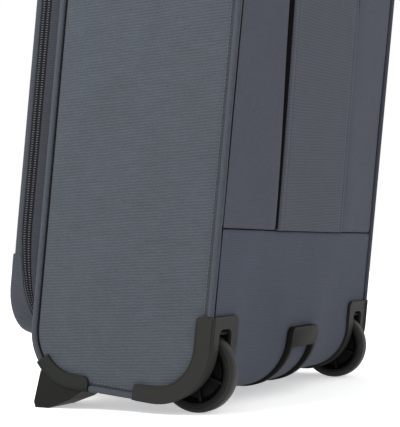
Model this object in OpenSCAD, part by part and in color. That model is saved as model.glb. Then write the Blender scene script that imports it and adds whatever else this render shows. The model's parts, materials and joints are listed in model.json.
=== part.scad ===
// Two-wheel softside upright case with a telescopic handle, standing on its wheels and front feet.
// Millimetres. +Z is up, +Y is the back (handle and wheel side), the zipped lid faces -Y.
// Everything is drawn in the case's own upright frame, whose height zero is the wheel axle,
// and stand() then leans it back onto its wheels and feet, with the floor at Z = 0.

/* [Case] */
// Width over the side panels
case_w = 390; // [325:1:468]
// Depth between the front and back seams
case_d = 167; // [150:1:200]
// Height of the shell above the wheel axle
case_top = 500; // [416:0.1:600]
// Drop of the underside below the wheel axle
belly_drop = 25; // [22:0.5:27]
// Backward lean of the standing case, in degrees
lean = 5.74; // [4.5:0.05:7]
// Thickness of the fabric-covered panels
wall = 3; // [2:0.1:4]
// Radius of the lower back corner
rear_corner_r = 47; // [44:0.1:56.5]
// Radius of the lower front corner
front_corner_r = 45; // [40:0.5:48]
// Radius of the top front corner
top_front_r = 40; // [25:0.5:45]
// Radius of the top back corner
top_back_r = 20; // [15:0.5:25]
// Radius of the covered piping cord
piping_r = 3.2; // [2.4:0.1:4]
// Height of the seam across the back, above the axle
back_seam_z = 121.5; // [100:0.5:150]

/* [Lid] */
// How far the lid's sides stand in from the side panels
lid_inset = 8; // [5:0.5:12]
// Lid's lower edge above the axle
lid_bottom = 7; // [5:0.5:12]
// Gap from the lid's upper edge to the top of the shell
lid_top_gap = 8; // [6:0.5:20]
// Radius of the lid's corners seen from the front
lid_corner_r = 46; // [35:0.5:55]
// Depth of the fabric strip between the front piping and the zip
strip_depth = 16.6; // [12:0.1:20]
// Width of the zip's two halves together
zip_w = 10; // [8:0.1:12]
// Depth of the lid in front of the zip
rim_depth = 7.5; // [6:0.1:12]
// How far the pockets stand out from the lid
pocket_depth = 2; // [1.5:0.1:4]

/* [Wheels] */
// Wheel diameter
wheel_d = 69.44; // [57.8:0.01:72]
// Width of the tyre
tread_w = 15; // [12:0.5:16]
// Distance from the middle of the case to the middle of a wheel
wheel_x = 165.9; // [140:0.1:167]
// Distance of the axle in front of the back panel
axle_inset = 19.7; // [19:0.1:22]
// Axle diameter
axle_d = 6; // [5:0.5:7]
// Radial running clearance of the wheel on its axle
axle_clearance = 0.05; // [0.02:0.01:0.1]

/* [Trolley handle] */
// Distance between the two tube centres
tube_spacing = 124; // [110:0.1:149]
// Width of an outer tube
tube_w = 22; // [20:0.5:24]
// Depth of an outer tube
tube_d = 13.5; // [13:0.5:14]
// Wall of the tubes
tube_wall = 1.1; // [0.9:0.1:1.2]
// Clearance between one tube and the next
tube_gap = 0.35; // [0.3:0.05:0.5]
// Travel of each stage
stage_travel = 225; // [180:1:240]
// How far the grip bar reaches past the middle of each tube
grip_overhang = 15; // [12:0.5:20]
// Stroke of the release button
button_stroke = 2.5; // [1.5:0.1:3]

/* [Grab handles] */
// Width of the bottom grab handle
grab_w = 66; // [56:1:80]
// Width of the opening between its legs
grab_open_w = 42; // [36:1:44]
// Distance between the ends of the top carry handle
carry_w = 150; // [130:1:170]
// Lift of the top carry handle
carry_lift = 10; // [5:0.5:12]

/* [Hidden] */

$fn = 48;
tiny = 0.2;                 // air between parts that only lie against each other
deep = 60;                  // spare length of a cut

fabric = "#565c66";
light_fabric = "#636872";
moulding = "#3c3b38";
metal = "#b4b6b8";

side_x = case_w / 2;
back_y = case_d / 2;
bottom_z = -belly_drop;
wheel_r = wheel_d / 2;
axle_r = axle_d / 2;
wheel_y = back_y - axle_inset;

// Front layers, from the front piping forward
zip_back_y = -back_y - strip_depth;
zip_mid_y = zip_back_y - zip_w / 2;
zip_front_y = zip_back_y - zip_w;
lid_front_y = zip_front_y - rim_depth;
lid_x = side_x - lid_inset;
lid_top = case_top - lid_top_gap;
hinge_end_gap = lid_corner_r + 6;

// Raised cover over the tubes
cover_side = 9.5;           // from an outer tube to the edge of the cover
cover_w = tube_spacing + tube_w + 2 * cover_side;
cover_rise = 7;
cover_wall = 1.6;
cover_back_y = back_y + cover_rise;

// Telescopic tubes, nested about one centre line
tube_y = cover_back_y - cover_wall - tiny - tube_d / 2;
middle_w = tube_w - 2 * tube_wall - 2 * tube_gap;
middle_d = tube_d - 2 * tube_wall - 2 * tube_gap;
inner_w = middle_w - 2 * tube_wall - 2 * tube_gap;
inner_d = middle_d - 2 * tube_wall - 2 * tube_gap;
bracket_z = back_seam_z + 2;
bracket_h = 20;
tube_foot_z = bracket_z + 6;
middle_foot_z = tube_foot_z + 4;
inner_foot_z = middle_foot_z + 4;
latch_lift = 12;            // latch above the foot of its stage
latch_hole_r = 2.5;
bezel_top = case_top + 7;
tray_floor_z = case_top - 18;
tray_floor_t = 3;
tube_top_z = tray_floor_z - tray_floor_t;
bezel_bottom_z = tube_top_z - 3;
grip_w = tube_spacing + 2 * grip_overhang;
bezel_w = grip_w + 24;
grip_h = 22;
grip_d = 18;
grip_y = tube_y - 1.5;
grip_z = tray_floor_z + 1;
grip_socket = 12;
grip_air = 0.7;             // air between the stowed grip and its tray
tray_corner_r = 1.2;
tray_back_y = grip_y + grip_d / 2 + grip_air;
tray_front_y = grip_y - grip_d / 2 - grip_air;
bezel_back_y = tray_back_y + 3;
finger_w = 80;
finger_d = 15;
bezel_front_y = tray_front_y - finger_d - 4;
button_w = 30;
button_d = 10;
button_h = 9;
button_proud = 3;

// Wheel well
cheek_t = 2;
axle_head = 1.5;
slot_w = tread_w + 9;
well_r = wheel_r + 4;
well_top_z = well_r + cheek_t;
slot_top_z = well_r - 0.7;
slot_x = wheel_x + 1.45;    // the slot sits a little outboard of the wheel
hub_r = wheel_r - 6.5;

// Corner guards
guard_t = 2.6;
guard_top_z = 49;
guard_inner_x = 142;
guard_front_y = 20;
guard_screw_x = 147;
flange_t = 2.8;
flange_band = 12;           // width of the flange beside the side panel
flange_corner_r = 5;
guard_corner_r = 7;
slot_corner_r = 6;
rear_arc_y = back_y - rear_corner_r;
rear_arc_z = bottom_z + rear_corner_r;
front_arc_y = -back_y + front_corner_r;
front_arc_z = bottom_z + front_corner_r;

// Front feet
foot_inner_x = 150;
foot_back_y = front_arc_y + 14.5;
foot_sole_front = front_arc_y - 35.5;
foot_sole_back = front_arc_y - 22.5;
foot_band = 11;
foot_cut_angle = 218;       // where the foot's moulding ends on the round of the corner
foot_top_z = front_arc_z + 10;
foot_screw_x = 160;

// Bottom grab handle: its outer face is one arc, deepest at the top
grab_rise = 10;             // how far its top stands off the back
grab_arc_y = rear_arc_y + 3.5;
grab_arc_z = rear_arc_z + 2.5;
grab_arc_r = back_y + grab_rise - grab_arc_y;
grab_top_z = grab_arc_z + 8;
grab_open_z = grab_top_z - 20;
grab_skin = 3.2;
grab_front_y = 12;
grab_leg_x = (grab_w + grab_open_w) / 4;
grab_corner_r = 7;
grab_window_r = 3;

// Screws that hold the mouldings from inside
screw_r = 1.5;
screw_head_r = 3.5;
screw_head = 1.8;
screw_bite = 2.2;

// Top carry handle
carry_y = -8;
carry_d = 26;
carry_bar_t = 9;
carry_gap = 11;
carry_leg_w = 9;
carry_leg_d = 16;
carry_plate_h = 4;

// Lining and packing straps
lining_y = tube_y - tube_d / 2 - 4;
strap_w = 25;
strap_t = 1.5;
strap_z = 250;
buckle_w = 46;

// Pockets on the lid
pocket_w = case_w - 60;
lower_pocket = [81, 270];
upper_pocket = [292, lid_top - 36];
pocket_zip_w = 9;

// Zip sliders and their pulls
slider_x = 30;
bridge_l = 6;
bridge_w = 3;
pin_z = 3.7;
pull_pin_r = 0.7;
pull_t = 1.6;
pull_w = 7.4;
pull_l = 24;

// Where the standing case reaches at the front and at the back
front_reach = (lid_front_y - wheel_y) * cos(lean) + lid_bottom * sin(lean) + wheel_y;
back_reach = (bezel_back_y - wheel_y) * cos(lean) + bezel_top * sin(lean) + wheel_y;
centre_shift = -(front_reach + back_reach) / 2;

// Height, in the case's own frame, of the floor below a point at depth y
function floor_z(y) = ((y - wheel_y) * sin(lean) - wheel_r) / cos(lean);

// Leans the upright case back about its wheel axle and stands it on the floor
module stand() {
    translate([0, wheel_y + centre_shift, wheel_r]) rotate([-lean, 0, 0])
        translate([0, -wheel_y, 0]) children();
}

// Extrudes a Y-Z outline from x0 to x1
module along_x(x0, x1) {
    translate([x0, 0, 0]) rotate([90, 0, 90]) linear_extrude(x1 - x0) children();
}

// Extrudes an X-Z outline from y0 to y1
module along_y(y0, y1) {
    translate([0, y1, 0]) rotate([90, 0, 0]) linear_extrude(y1 - y0) children();
}

// Extrudes an X-Y outline from z0 to z1
module along_z(z0, z1) {
    translate([0, 0, z0]) linear_extrude(z1 - z0) children();
}

module box(low, high) {
    translate(low) cube([for (i = [0:2]) high[i] - low[i]]);
}

// One solid on the right (+X) side when side is 1, mirrored to the left when it is -1
module sided(side) {
    if (side == 1) children();
    else mirror([1, 0, 0]) children();
}

module rounded(low, high, r) {
    translate([low[0] + r, low[1]]) square([high[0] - low[0] - 2 * r, high[1] - low[1]]);
    translate([low[0], low[1] + r]) square([high[0] - low[0], high[1] - low[1] - 2 * r]);
    for (x = [low[0] + r, high[0] - r], y = [low[1] + r, high[1] - r]) translate([x, y]) circle(r);
}

// What a rounded corner of radius r takes off a square one, growing along dir_y and dir_z
module corner_cut(at, r, dir_y, dir_z) {
    translate(at) mirror([dir_y < 0 ? 1 : 0, 0]) mirror([0, dir_z < 0 ? 1 : 0]) difference() {
        translate([-1, -1]) square(r + 1);
        translate([r, r]) circle(r);
    }
}

// Side view of the shell, shrunk by inset
module case_outline(inset = 0) {
    low = [-back_y + inset, bottom_z + inset];
    high = [back_y - inset, case_top - inset];
    difference() {
        translate(low) square(high - low);
        corner_cut(low, front_corner_r - inset, 1, 1);
        corner_cut([high[0], low[1]], rear_corner_r - inset, -1, 1);
        corner_cut([low[0], high[1]], top_front_r - inset, 1, -1);
        corner_cut(high, top_back_r - inset, -1, -1);
    }
}

module shell_ring(outer = 0, thick = wall) {
    difference() {
        case_outline(outer);
        case_outline(outer + thick);
    }
}

// Front view of the lid, shrunk by inset
module lid_outline(inset = 0) {
    rounded([-lid_x + inset, lid_bottom + inset], [lid_x - inset, lid_top - inset],
        lid_corner_r - inset);
}

module lid_ring(outer, inner) {
    difference() {
        lid_outline(outer);
        lid_outline(inner);
    }
}

// ---- Shell: two side panels joined by a band of panels that wraps round them ----

// Where the two wheel wells pass through the underside and the lower back
module well_cuts() {
    for (side = [1, -1]) sided(side)
        box([slot_x - slot_w / 2 - cheek_t - tiny, guard_front_y - 4, bottom_z - 5],
            [slot_x + slot_w / 2 + cheek_t + tiny, back_y + 5, well_top_z + tiny]);
}

module band(y0, z0, y1, z1) {
    along_x(-side_x + wall, side_x - wall) intersection() {
        shell_ring();
        translate([y0, z0]) square([y1 - y0, z1 - z0]);
    }
}

module side_panel() {
    along_x(side_x - wall + 0.05, side_x) case_outline();
}

module side_panel_right() { color(fabric) stand() side_panel(); }

module side_panel_left() { color(fabric) stand() sided(-1) side_panel(); }

module back_strip() {
    difference() {
        band(0, back_seam_z, deep * 2, case_top - top_back_r);
        box([-deep * 5, 0, 0], [cover_w / 2, deep * 2, case_top + 5]);
        bezel_space();
    }
}

module back_strip_right() { color(fabric) stand() back_strip(); }

module back_strip_left() { color(fabric) stand() sided(-1) back_strip(); }

module back_panel_lower() {
    color(fabric) stand() difference() {
        band(guard_front_y, bottom_z - 1, deep * 2, back_seam_z - 0.05);
        well_cuts();
        screw_set(0.05);
    }
}

module bottom_panel() {
    color(fabric) stand() difference() {
        band(front_arc_y, bottom_z - 1, guard_front_y - 0.05, front_arc_z);
        screw_set(0.05);
    }
}

module top_panel() {
    color(fabric) stand() difference() {
        band(-back_y + top_front_r, case_top - top_back_r + 0.05, deep * 2, case_top + 1);
        bezel_space();
        for (x = [-1, 1]) translate([x * (carry_w / 2 - carry_leg_w / 2), carry_y, case_top - deep / 2])
            cube([carry_leg_w + 2, carry_leg_d + 2, deep * 2], center = true);
    }
}

// Front wall round the lid's opening, and the strip that runs forward from it to the zip
module front_strip() {
    color(fabric) stand() {
        difference() {
            union() {
                band(-deep * 2, bottom_z - 1, front_arc_y - 0.05, case_top / 2);
                band(-deep * 2, case_top / 2 - 0.05, -back_y + top_front_r - 0.05, case_top + 1);
            }
            along_y(-deep * 3, 0) lid_outline(wall - 1);
        }
        along_y(zip_back_y, -back_y + 1) lid_ring(0, wall);
        difference() {
            along_y(-back_y, front_arc_y - 1) lid_ring(0, wall);
            along_x(-deep * 5, deep * 5) case_outline(0.5);
        }
    }
}

// Fabric cover raised over the tubes, open at the top under the handle bezel
module tube_cover() {
    corner = 5;
    color(fabric) stand() difference() {
        along_z(back_seam_z, bezel_bottom_z - 0.05) difference() {
            rounded([-cover_w / 2, back_y - wall - deep / 2], [cover_w / 2, cover_back_y], corner);
            translate([-cover_w, back_y - wall - deep]) square([2 * cover_w, deep]);
        }
        along_z(back_seam_z + cover_wall, case_top)
            rounded([-cover_w / 2 + cover_wall, back_y - wall - deep],
                [cover_w / 2 - cover_wall, cover_back_y - cover_wall], corner - cover_wall);
    }
}

// Piping cord sewn round the edge of a side panel, broken where the guards cover it
module piping() {
    x = side_x - 1;
    low = [-back_y, bottom_z];
    high = [back_y, case_top];
    corners = [[low[0] + front_corner_r, low[1] + front_corner_r, front_corner_r, 180],
               [high[0] - rear_corner_r, low[1] + rear_corner_r, rear_corner_r, 270],
               [high[0] - top_back_r, high[1] - top_back_r, top_back_r, 0],
               [low[0] + top_front_r, high[1] - top_front_r, top_front_r, 90]];
    difference() {
        translate([x, 0, 0]) {
            for (c = corners) translate([0, c[0], c[1]]) rotate([90, 0, 90])
                rotate([0, 0, c[3]]) rotate_extrude(angle = 90) translate([c[2], 0]) circle(piping_r, $fn = 24);
            translate([0, low[0], corners[0][1]]) cylinder(corners[3][1] - corners[0][1], r = piping_r, $fn = 24);
            translate([0, high[0], corners[1][1]]) cylinder(corners[2][1] - corners[1][1], r = piping_r, $fn = 24);
            translate([0, corners[0][0], low[1]]) rotate([-90, 0, 0])
                cylinder(corners[1][0] - corners[0][0], r = piping_r, $fn = 24);
            translate([0, corners[3][0], high[1]]) rotate([-90, 0, 0])
                cylinder(corners[2][0] - corners[3][0], r = piping_r, $fn = 24);
        }
        along_x(x - deep, side_x) case_outline(-0.05);
        box([x - deep, guard_front_y - tiny, bottom_z - deep], [x + deep, deep * 3, guard_top_z + tiny]);
        box([x - deep, -deep * 3, bottom_z - deep], [x + deep, foot_back_y + tiny, foot_top_z + tiny]);
    }
}

module piping_right() { color(light_fabric) stand() piping(); }

module piping_left() { color(light_fabric) stand() sided(-1) piping(); }

// ---- Zip and lid ----

module zip_half(y0, y1) {
    difference() {
        along_y(y0, y1) lid_ring(0.6, 2.6);
        box([-side_x, y0 - 1, lid_bottom + hinge_end_gap], [-lid_x + 8, y1 + 1, lid_top - hinge_end_gap]);
    }
}

module zip_half_case() { color("#26282c") stand() zip_half(zip_mid_y + 0.05, zip_back_y); }

module zip_half_lid() { color("#26282c") stand() zip_half(zip_front_y, zip_mid_y - 0.05); }

// Strip of fabric that joins the lid to the case on the left side, in place of the zip
module lid_hinge_strip() {
    color(fabric) stand()
        box([-lid_x + 0.4, zip_mid_y + 0.05, lid_bottom + hinge_end_gap + 1],
            [-lid_x + 2.4, zip_back_y, lid_top - hinge_end_gap - 1]);
}

module lid_rim() {
    color(fabric) stand() {
        along_y(lid_front_y, zip_front_y) lid_ring(0, wall);
        box([-lid_x + 0.4, zip_front_y - 2, lid_bottom + hinge_end_gap + 1],
            [-lid_x + 2.4, zip_mid_y - 0.05, lid_top - hinge_end_gap - 1]);
    }
}

module lid_panel() {
    color(fabric) stand() along_y(lid_front_y, lid_front_y + wall)
        lid_outline(wall + 0.05);
}

module pocket(span) {
    along_y(lid_front_y - pocket_depth, lid_front_y - 0.05)
        rounded([-pocket_w / 2, span[0]], [pocket_w / 2, span[1]], 12);
}

module pocket_lower() { color(fabric) stand() pocket(lower_pocket); }

module pocket_upper() { color(fabric) stand() pocket(upper_pocket); }

// The two pocket zips lie along the tops of the pockets
module pocket_zips() {
    color("#26282c") stand() for (span = [lower_pocket, upper_pocket])
        along_y(lid_front_y - pocket_depth - 1, lid_front_y - pocket_depth - 0.05)
            translate([-pocket_w / 2 + 20, span[1] - 8 - pocket_zip_w])
                square([pocket_w - 40, pocket_zip_w]);
}

// Slider that closes a zip; its flat underside is at height 0 and it runs along X
module slider_body(bridge_turn = 0) {
    color(metal) difference() {
        union() {
            along_z(0, 2.4) rounded([-6, -4.2], [6, 4.2], 2);
            rotate(bridge_turn) box([-bridge_l / 2, -bridge_w / 2, 2.3], [bridge_l / 2, bridge_w / 2, 5]);
        }
        rotate(bridge_turn) translate([0, 0, pin_z]) rotate([90, 0, 0])
            cylinder(deep, r = pull_pin_r + 0.08, center = true);
    }
}

// Pull tab with its pin through the slider's bridge, lying flat towards +X
module slider_pull() {
    ear_y = bridge_w / 2 + 0.4;
    color(moulding) {
        difference() {
            along_z(pin_z - pull_t / 2, pin_z + pull_t / 2)
                rounded([bridge_l / 2 + 0.6, -pull_w / 2], [pull_l, pull_w / 2], 2.5);
            translate([pull_l - 6, 0, 0]) cylinder(deep / 2, r = 1.4);
        }
        for (side = [-1, 1])
            translate([bridge_l / 2, side * (ear_y + pull_w / 2) / 2, pin_z])
                cube([bridge_l + 2, pull_w / 2 - ear_y, pull_t], center = true);
        translate([0, 0, pin_z]) rotate([90, 0, 0]) cylinder(pull_w - 0.2, r = pull_pin_r, center = true);
    }
}

// Puts a slider on the zip along the lid's upper edge
module on_top_zip(side) {
    stand() translate([side * slider_x, zip_mid_y, lid_top + 0.1]) sided(side) children();
}

module zip_slider_right() { on_top_zip(1) slider_body(); }

module zip_slider_left() { on_top_zip(-1) slider_body(); }

module zip_pull_right() { on_top_zip(1) slider_pull(); }

module zip_pull_left() { on_top_zip(-1) slider_pull(); }

// Puts a slider on a pocket's zip, its pull hanging down
module on_pocket_zip(span) {
    stand() translate([pocket_w / 2 - 40, lid_front_y - pocket_depth - 1.1,
        span[1] - 8 - pocket_zip_w / 2]) rotate([90, 0, 0]) children();
}

module pocket_slider_lower() { on_pocket_zip(lower_pocket) slider_body(-90); }

module pocket_slider_upper() { on_pocket_zip(upper_pocket) slider_body(-90); }

module pocket_pull_lower() { on_pocket_zip(lower_pocket) rotate([0, 0, -90]) slider_pull(); }

module pocket_pull_upper() { on_pocket_zip(upper_pocket) rotate([0, 0, -90]) slider_pull(); }

// ---- Inside ----

module back_board() {
    color("#2a2a2a") stand()
        box([-side_x + 12, tube_y - tube_d / 2 - 2.5, well_top_z + 14],
            [side_x - 12, tube_y - tube_d / 2 - 0.5, bezel_bottom_z - 10]);
}

module back_lining() {
    color("#4a4d52") stand()
        box([-side_x + 12, lining_y, well_top_z + 14], [side_x - 12, lining_y + 1.2, bezel_bottom_z - 10]);
}

// Springy hoop that keeps a side panel's outline, sewn in just inside its edge
module frame_hoop() {
    along_x(side_x - 11, side_x - wall - tiny) shell_ring(wall + tiny, 2);
}

module frame_hoop_right() { color("#202020") stand() frame_hoop(); }

module frame_hoop_left() { color("#202020") stand() sided(-1) frame_hoop(); }

module packing_straps() {
    color("#1f2023") stand() for (side = [1, -1]) sided(side)
        box([buckle_w / 2 + tiny, lining_y - 0.3 - strap_t, strap_z - strap_w / 2],
            [side_x - 14, lining_y - 0.3, strap_z + strap_w / 2]);
}

module strap_buckle() {
    color(moulding) stand() along_y(lining_y - 5, lining_y - tiny)
        rounded([-buckle_w / 2, strap_z - strap_w / 2 - 5], [buckle_w / 2, strap_z + strap_w / 2 + 5], 4);
}

// ---- Wheels and their corner guards ----

// Moulded skin that wraps the outside of the shell, between x0 and x1
module wrap_skin(x0, x1) {
    along_x(x0, x1) difference() {
        case_outline(-tiny - guard_t);
        case_outline(-tiny);
    }
}

module side_flange(band_w) {
    along_x(side_x + tiny, side_x + tiny + flange_t) difference() {
        case_outline(-tiny - guard_t);
        case_outline(band_w - 1);
    }
}

module corner_guard() {
    outer_x = side_x + tiny + flange_t;
    difference() {
        intersection() {
            union() {
                wrap_skin(guard_inner_x, outer_x);
                side_flange(flange_band);
            }
            along_y(guard_front_y, deep * 3)
                rounded([guard_inner_x, bottom_z - deep], [deep * 5, guard_top_z], guard_corner_r);
        }
        along_y(guard_front_y + 4, deep * 3)
            rounded([slot_x - slot_w / 2, bottom_z - deep], [slot_x + slot_w / 2, slot_top_z], slot_corner_r);
        along_x(side_x, outer_x + 1) {
            corner_cut([back_y - flange_band + 1, guard_top_z], flange_corner_r, 1, -1);
            corner_cut([guard_front_y, bottom_z + flange_band - 1], flange_corner_r, 1, -1);
        }
        screw_set(0.05);
    }
}

module corner_guard_right() { color(moulding) stand() corner_guard(); }

module corner_guard_left() { color(moulding) stand() sided(-1) corner_guard(); }

// Closed box round the upper part of a wheel, whose cheeks carry the axle
module wheel_well() {
    inner_x = slot_x - slot_w / 2;
    outer_x = slot_x + slot_w / 2;
    difference() {
        union() {
            difference() {
                along_x(inner_x - cheek_t, outer_x + cheek_t) intersection() {
                    translate([wheel_y, 0]) circle(well_top_z);
                    case_outline(-tiny + 0.05);
                }
                along_x(inner_x, outer_x) translate([wheel_y, 0]) circle(well_r);
            }
            for (span = [[inner_x - 0.5, wheel_x - tread_w / 2 - 0.3],
                         [wheel_x + tread_w / 2 + 0.3, outer_x + 0.5]])
                along_x(span[0], span[1]) translate([wheel_y, 0]) circle(axle_r + 3);
        }
        along_x(inner_x - deep, outer_x + deep) translate([wheel_y, 0]) circle(axle_r + 0.02);
    }
}

module wheel_well_right() { color("#1b1b1a") stand() wheel_well(); }

module wheel_well_left() { color("#1b1b1a") stand() sided(-1) wheel_well(); }

// Fixed axle with a riveted head at each end
module axle() {
    inner_x = slot_x - slot_w / 2 - cheek_t;
    outer_x = slot_x + slot_w / 2 + cheek_t;
    along_x(inner_x, outer_x) translate([wheel_y, 0]) circle(axle_r);
    for (x = [inner_x - axle_head, outer_x])
        along_x(x, x + axle_head) translate([wheel_y, 0]) circle(axle_r + 2);
}

module axle_right() { color(metal) stand() axle(); }

module axle_left() { color(metal) stand() sided(-1) axle(); }

module on_axle() {
    translate([wheel_x, wheel_y, 0]) rotate([0, 90, 0]) children();
}

module tyre() {
    half = tread_w / 2;
    on_axle() rotate_extrude($fn = 96)
        polygon([[hub_r, -half], [wheel_r - 2.6, -half], [wheel_r, -half + 2], [wheel_r, half - 2],
                 [wheel_r - 2.6, half], [hub_r, half]]);
}

module tyre_right() { color("#434341") stand() tyre(); }

module tyre_left() { color("#434341") stand() sided(-1) tyre(); }

// Hub dished on both faces: a rim and a boss joined by a thin web with six ribs
module hub() {
    half = tread_w / 2;
    boss_r = 8;
    on_axle() difference() {
        union() {
            difference() {
                cylinder(tread_w - 1, r = hub_r, center = true, $fn = 96);
                cylinder(tread_w, r = hub_r - 1.8, center = true, $fn = 96);
            }
            cylinder(3, r = hub_r - 1, center = true, $fn = 96);
            cylinder(tread_w, r = boss_r, center = true);
            for (i = [0:5]) rotate(i * 60 + 15) translate([boss_r - 1, -1.1, -half + 2])
                cube([hub_r - boss_r, 2.2, tread_w - 4]);
        }
        cylinder(tread_w + 2, r = axle_r + axle_clearance, center = true);
    }
}

module hub_right() { color("#161616") stand() hub(); }

module hub_left() { color("#161616") stand() sided(-1) hub(); }

// ---- Front feet ----

module front_foot() {
    outer_x = side_x + tiny + flange_t;
    cut_y = cos(foot_cut_angle) * 2 * deep;
    cut_z = sin(foot_cut_angle) * 2 * deep;
    difference() {
        union() {
            intersection() {
                union() {
                    wrap_skin(foot_inner_x, outer_x);
                    side_flange(foot_band);
                }
                along_x(0, outer_x + 1) translate([front_arc_y, front_arc_z])
                    polygon([[0, 0], [cut_y, cut_z], [cut_y, -2 * deep],
                             [foot_back_y - front_arc_y, -2 * deep], [foot_back_y - front_arc_y, 0]]);
            }
            difference() {
                along_x(foot_inner_x + 4, outer_x - 1) polygon([
                    [foot_sole_front + 2, bottom_z + 9], [foot_sole_front - 2, bottom_z - 19],
                    [foot_sole_front, floor_z(foot_sole_front)], [foot_sole_back, floor_z(foot_sole_back)],
                    [foot_sole_back + 20, bottom_z - 12.6], [foot_back_y - 4, bottom_z - guard_t],
                    [foot_back_y - 4, bottom_z]]);
                along_x(0, outer_x + 1) case_outline(-tiny);
            }
        }
        along_x(side_x, outer_x + 1)
            corner_cut([foot_back_y, bottom_z + foot_band - 1], flange_corner_r, -1, -1);
        screw_set(0.05);
    }
}

module front_foot_right() { color(moulding) stand() front_foot(); }

module front_foot_left() { color(moulding) stand() sided(-1) front_foot(); }

// ---- Bottom grab handle and its screws ----

module bottom_handle() {
    color(moulding) stand() difference() {
        along_x(-grab_w / 2, grab_w / 2) difference() {
            union() {
                translate([grab_arc_y, grab_arc_z]) circle(grab_arc_r, $fn = 96);
                translate([grab_arc_y, grab_arc_z]) square([grab_arc_r, grab_top_z - grab_arc_z]);
                translate([grab_front_y, grab_arc_z - grab_arc_r]) square([grab_arc_y - grab_front_y, deep]);
            }
            case_outline(-tiny);
            translate([-deep * 2, -deep * 2]) square([deep * 2 + grab_front_y, deep * 5]);
            translate([0, grab_top_z]) square(deep * 3);
        }
        along_y(grab_front_y - 1, deep * 3) difference() {
            translate([-grab_w, grab_arc_z]) square([grab_w * 2, deep]);
            rounded([-grab_w / 2, bottom_z - deep], [grab_w / 2, grab_top_z], grab_corner_r);
        }
        along_y(grab_front_y + 8, deep * 3)
            rounded([-grab_open_w / 2, bottom_z - deep], [grab_open_w / 2, grab_open_z], grab_window_r);
        box([-grab_open_w / 2, 0, 0], [grab_open_w / 2, back_y + grab_rise - grab_skin, grab_top_z - 4]);
        screw_set(0.05);
    }
}

module screw(extra) {
    translate([0, 0, -extra]) cylinder(screw_head + extra, r = screw_head_r + extra);
    translate([0, 0, -wall - tiny - screw_bite - extra])
        cylinder(wall + tiny + screw_bite + 2 * extra, r = screw_r + extra, $fn = 24);
}

// Screws driven outwards from inside: some through the back, some through the underside
module screw_set(extra = 0) {
    back_places = [[guard_screw_x, guard_top_z - 6], [grab_leg_x, grab_top_z - 10]];
    under_places = [[guard_screw_x, guard_front_y + 7], [grab_leg_x, grab_front_y + 8],
                    [foot_screw_x, front_arc_y + 7]];
    for (side = [1, -1]) {
        for (p = back_places) translate([side * p[0], back_y - wall, p[1]]) rotate([90, 0, 0]) screw(extra);
        for (p = under_places) translate([side * p[0], p[1], bottom_z + wall]) screw(extra);
    }
}

module case_screws() { color(metal) stand() screw_set(); }

// ---- Trolley handle ----

module bezel_space() {
    box([-bezel_w / 2 - tiny, bezel_front_y - tiny, bezel_bottom_z - tiny],
        [bezel_w / 2 + tiny, deep * 3, case_top + 5]);
}

module tube_outline(w, d, grow = 0) {
    translate([0, tube_y]) rounded([-w / 2 - grow, -d / 2 - grow], [w / 2 + grow, d / 2 + grow], 3 + grow);
}

// One tube from z0 to z1; the latch of the next stage springs out through its hole at latch_z
module tube(w, d, z0, z1, latch_z = -deep) {
    translate([tube_spacing / 2, 0, 0]) difference() {
        along_z(z0, z1) difference() {
            tube_outline(w, d);
            tube_outline(w, d, -tube_wall);
        }
        translate([0, tube_y, latch_z]) rotate([90, 0, 0]) cylinder(d, r = latch_hole_r, $fn = 24);
    }
}

module both_tubes(w, d, grow, z0, z1) {
    for (side = [1, -1]) translate([side * tube_spacing / 2, 0, 0]) along_z(z0, z1) tube_outline(w, d, grow);
}

// Tray let into the top of the case, in which the grip rests
module handle_bezel() {
    color(moulding) stand() difference() {
        along_z(bezel_bottom_z, bezel_top)
            rounded([-bezel_w / 2, bezel_front_y], [bezel_w / 2, bezel_back_y], 8);
        along_z(tray_floor_z, bezel_top + 1)
            rounded([-grip_w / 2 - grip_air, tray_front_y], [grip_w / 2 + grip_air, tray_back_y], tray_corner_r);
        along_z(tray_floor_z, bezel_top + 1)
            rounded([-finger_w / 2, tray_front_y - finger_d], [finger_w / 2, tray_front_y + 6], 5);
        both_tubes(tube_w, tube_d, 0.1, bezel_bottom_z - 1, tube_top_z + 0.1);
        both_tubes(middle_w, middle_d, tube_gap, bezel_bottom_z, bezel_top);
    }
}

module tube_bracket() {
    color(moulding) stand() difference() {
        box([-tube_spacing / 2 - tube_w / 2 - 4, tube_y - tube_d / 2 - 0.4, bracket_z],
            [tube_spacing / 2 + tube_w / 2 + 4, tube_y + tube_d / 2 + 0.1, bracket_z + bracket_h]);
        both_tubes(tube_w, tube_d, 0.05, tube_foot_z, bracket_z + bracket_h + 1);
    }
}

module outer_tube() { tube(tube_w, tube_d, tube_foot_z, tube_top_z, middle_foot_z + latch_lift + stage_travel); }

module outer_tube_right() { color(metal) stand() outer_tube(); }

module outer_tube_left() { color(metal) stand() sided(-1) outer_tube(); }

module middle_tube() {
    tube(middle_w, middle_d, middle_foot_z, tray_floor_z - 0.3, inner_foot_z + latch_lift + stage_travel);
}

module middle_tube_right() { color(metal) stand() middle_tube(); }

module middle_tube_left() { color(metal) stand() sided(-1) middle_tube(); }

module inner_tube() { tube(inner_w, inner_d, inner_foot_z, grip_z + grip_socket - 0.1); }

module inner_tube_right() { color(metal) stand() inner_tube(); }

module inner_tube_left() { color(metal) stand() sided(-1) inner_tube(); }

module button_outline(grow = 0) {
    rounded([-button_w / 2 - grow, grip_y - button_d / 2 - grow],
        [button_w / 2 + grow, grip_y + button_d / 2 + grow], 4 + grow);
}

module grip() {
    button_floor = grip_z + grip_h + button_proud - button_h - button_stroke - 0.5;
    color("#2c2c2b") stand() difference() {
        along_x(-grip_w / 2, grip_w / 2)
            rounded([grip_y - grip_d / 2, grip_z], [grip_y + grip_d / 2, grip_z + grip_h], 7);
        both_tubes(inner_w, inner_d, 0.05, grip_z - 1, grip_z + grip_socket);
        along_z(button_floor, bezel_top * 2) button_outline(0.3);
    }
}

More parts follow.
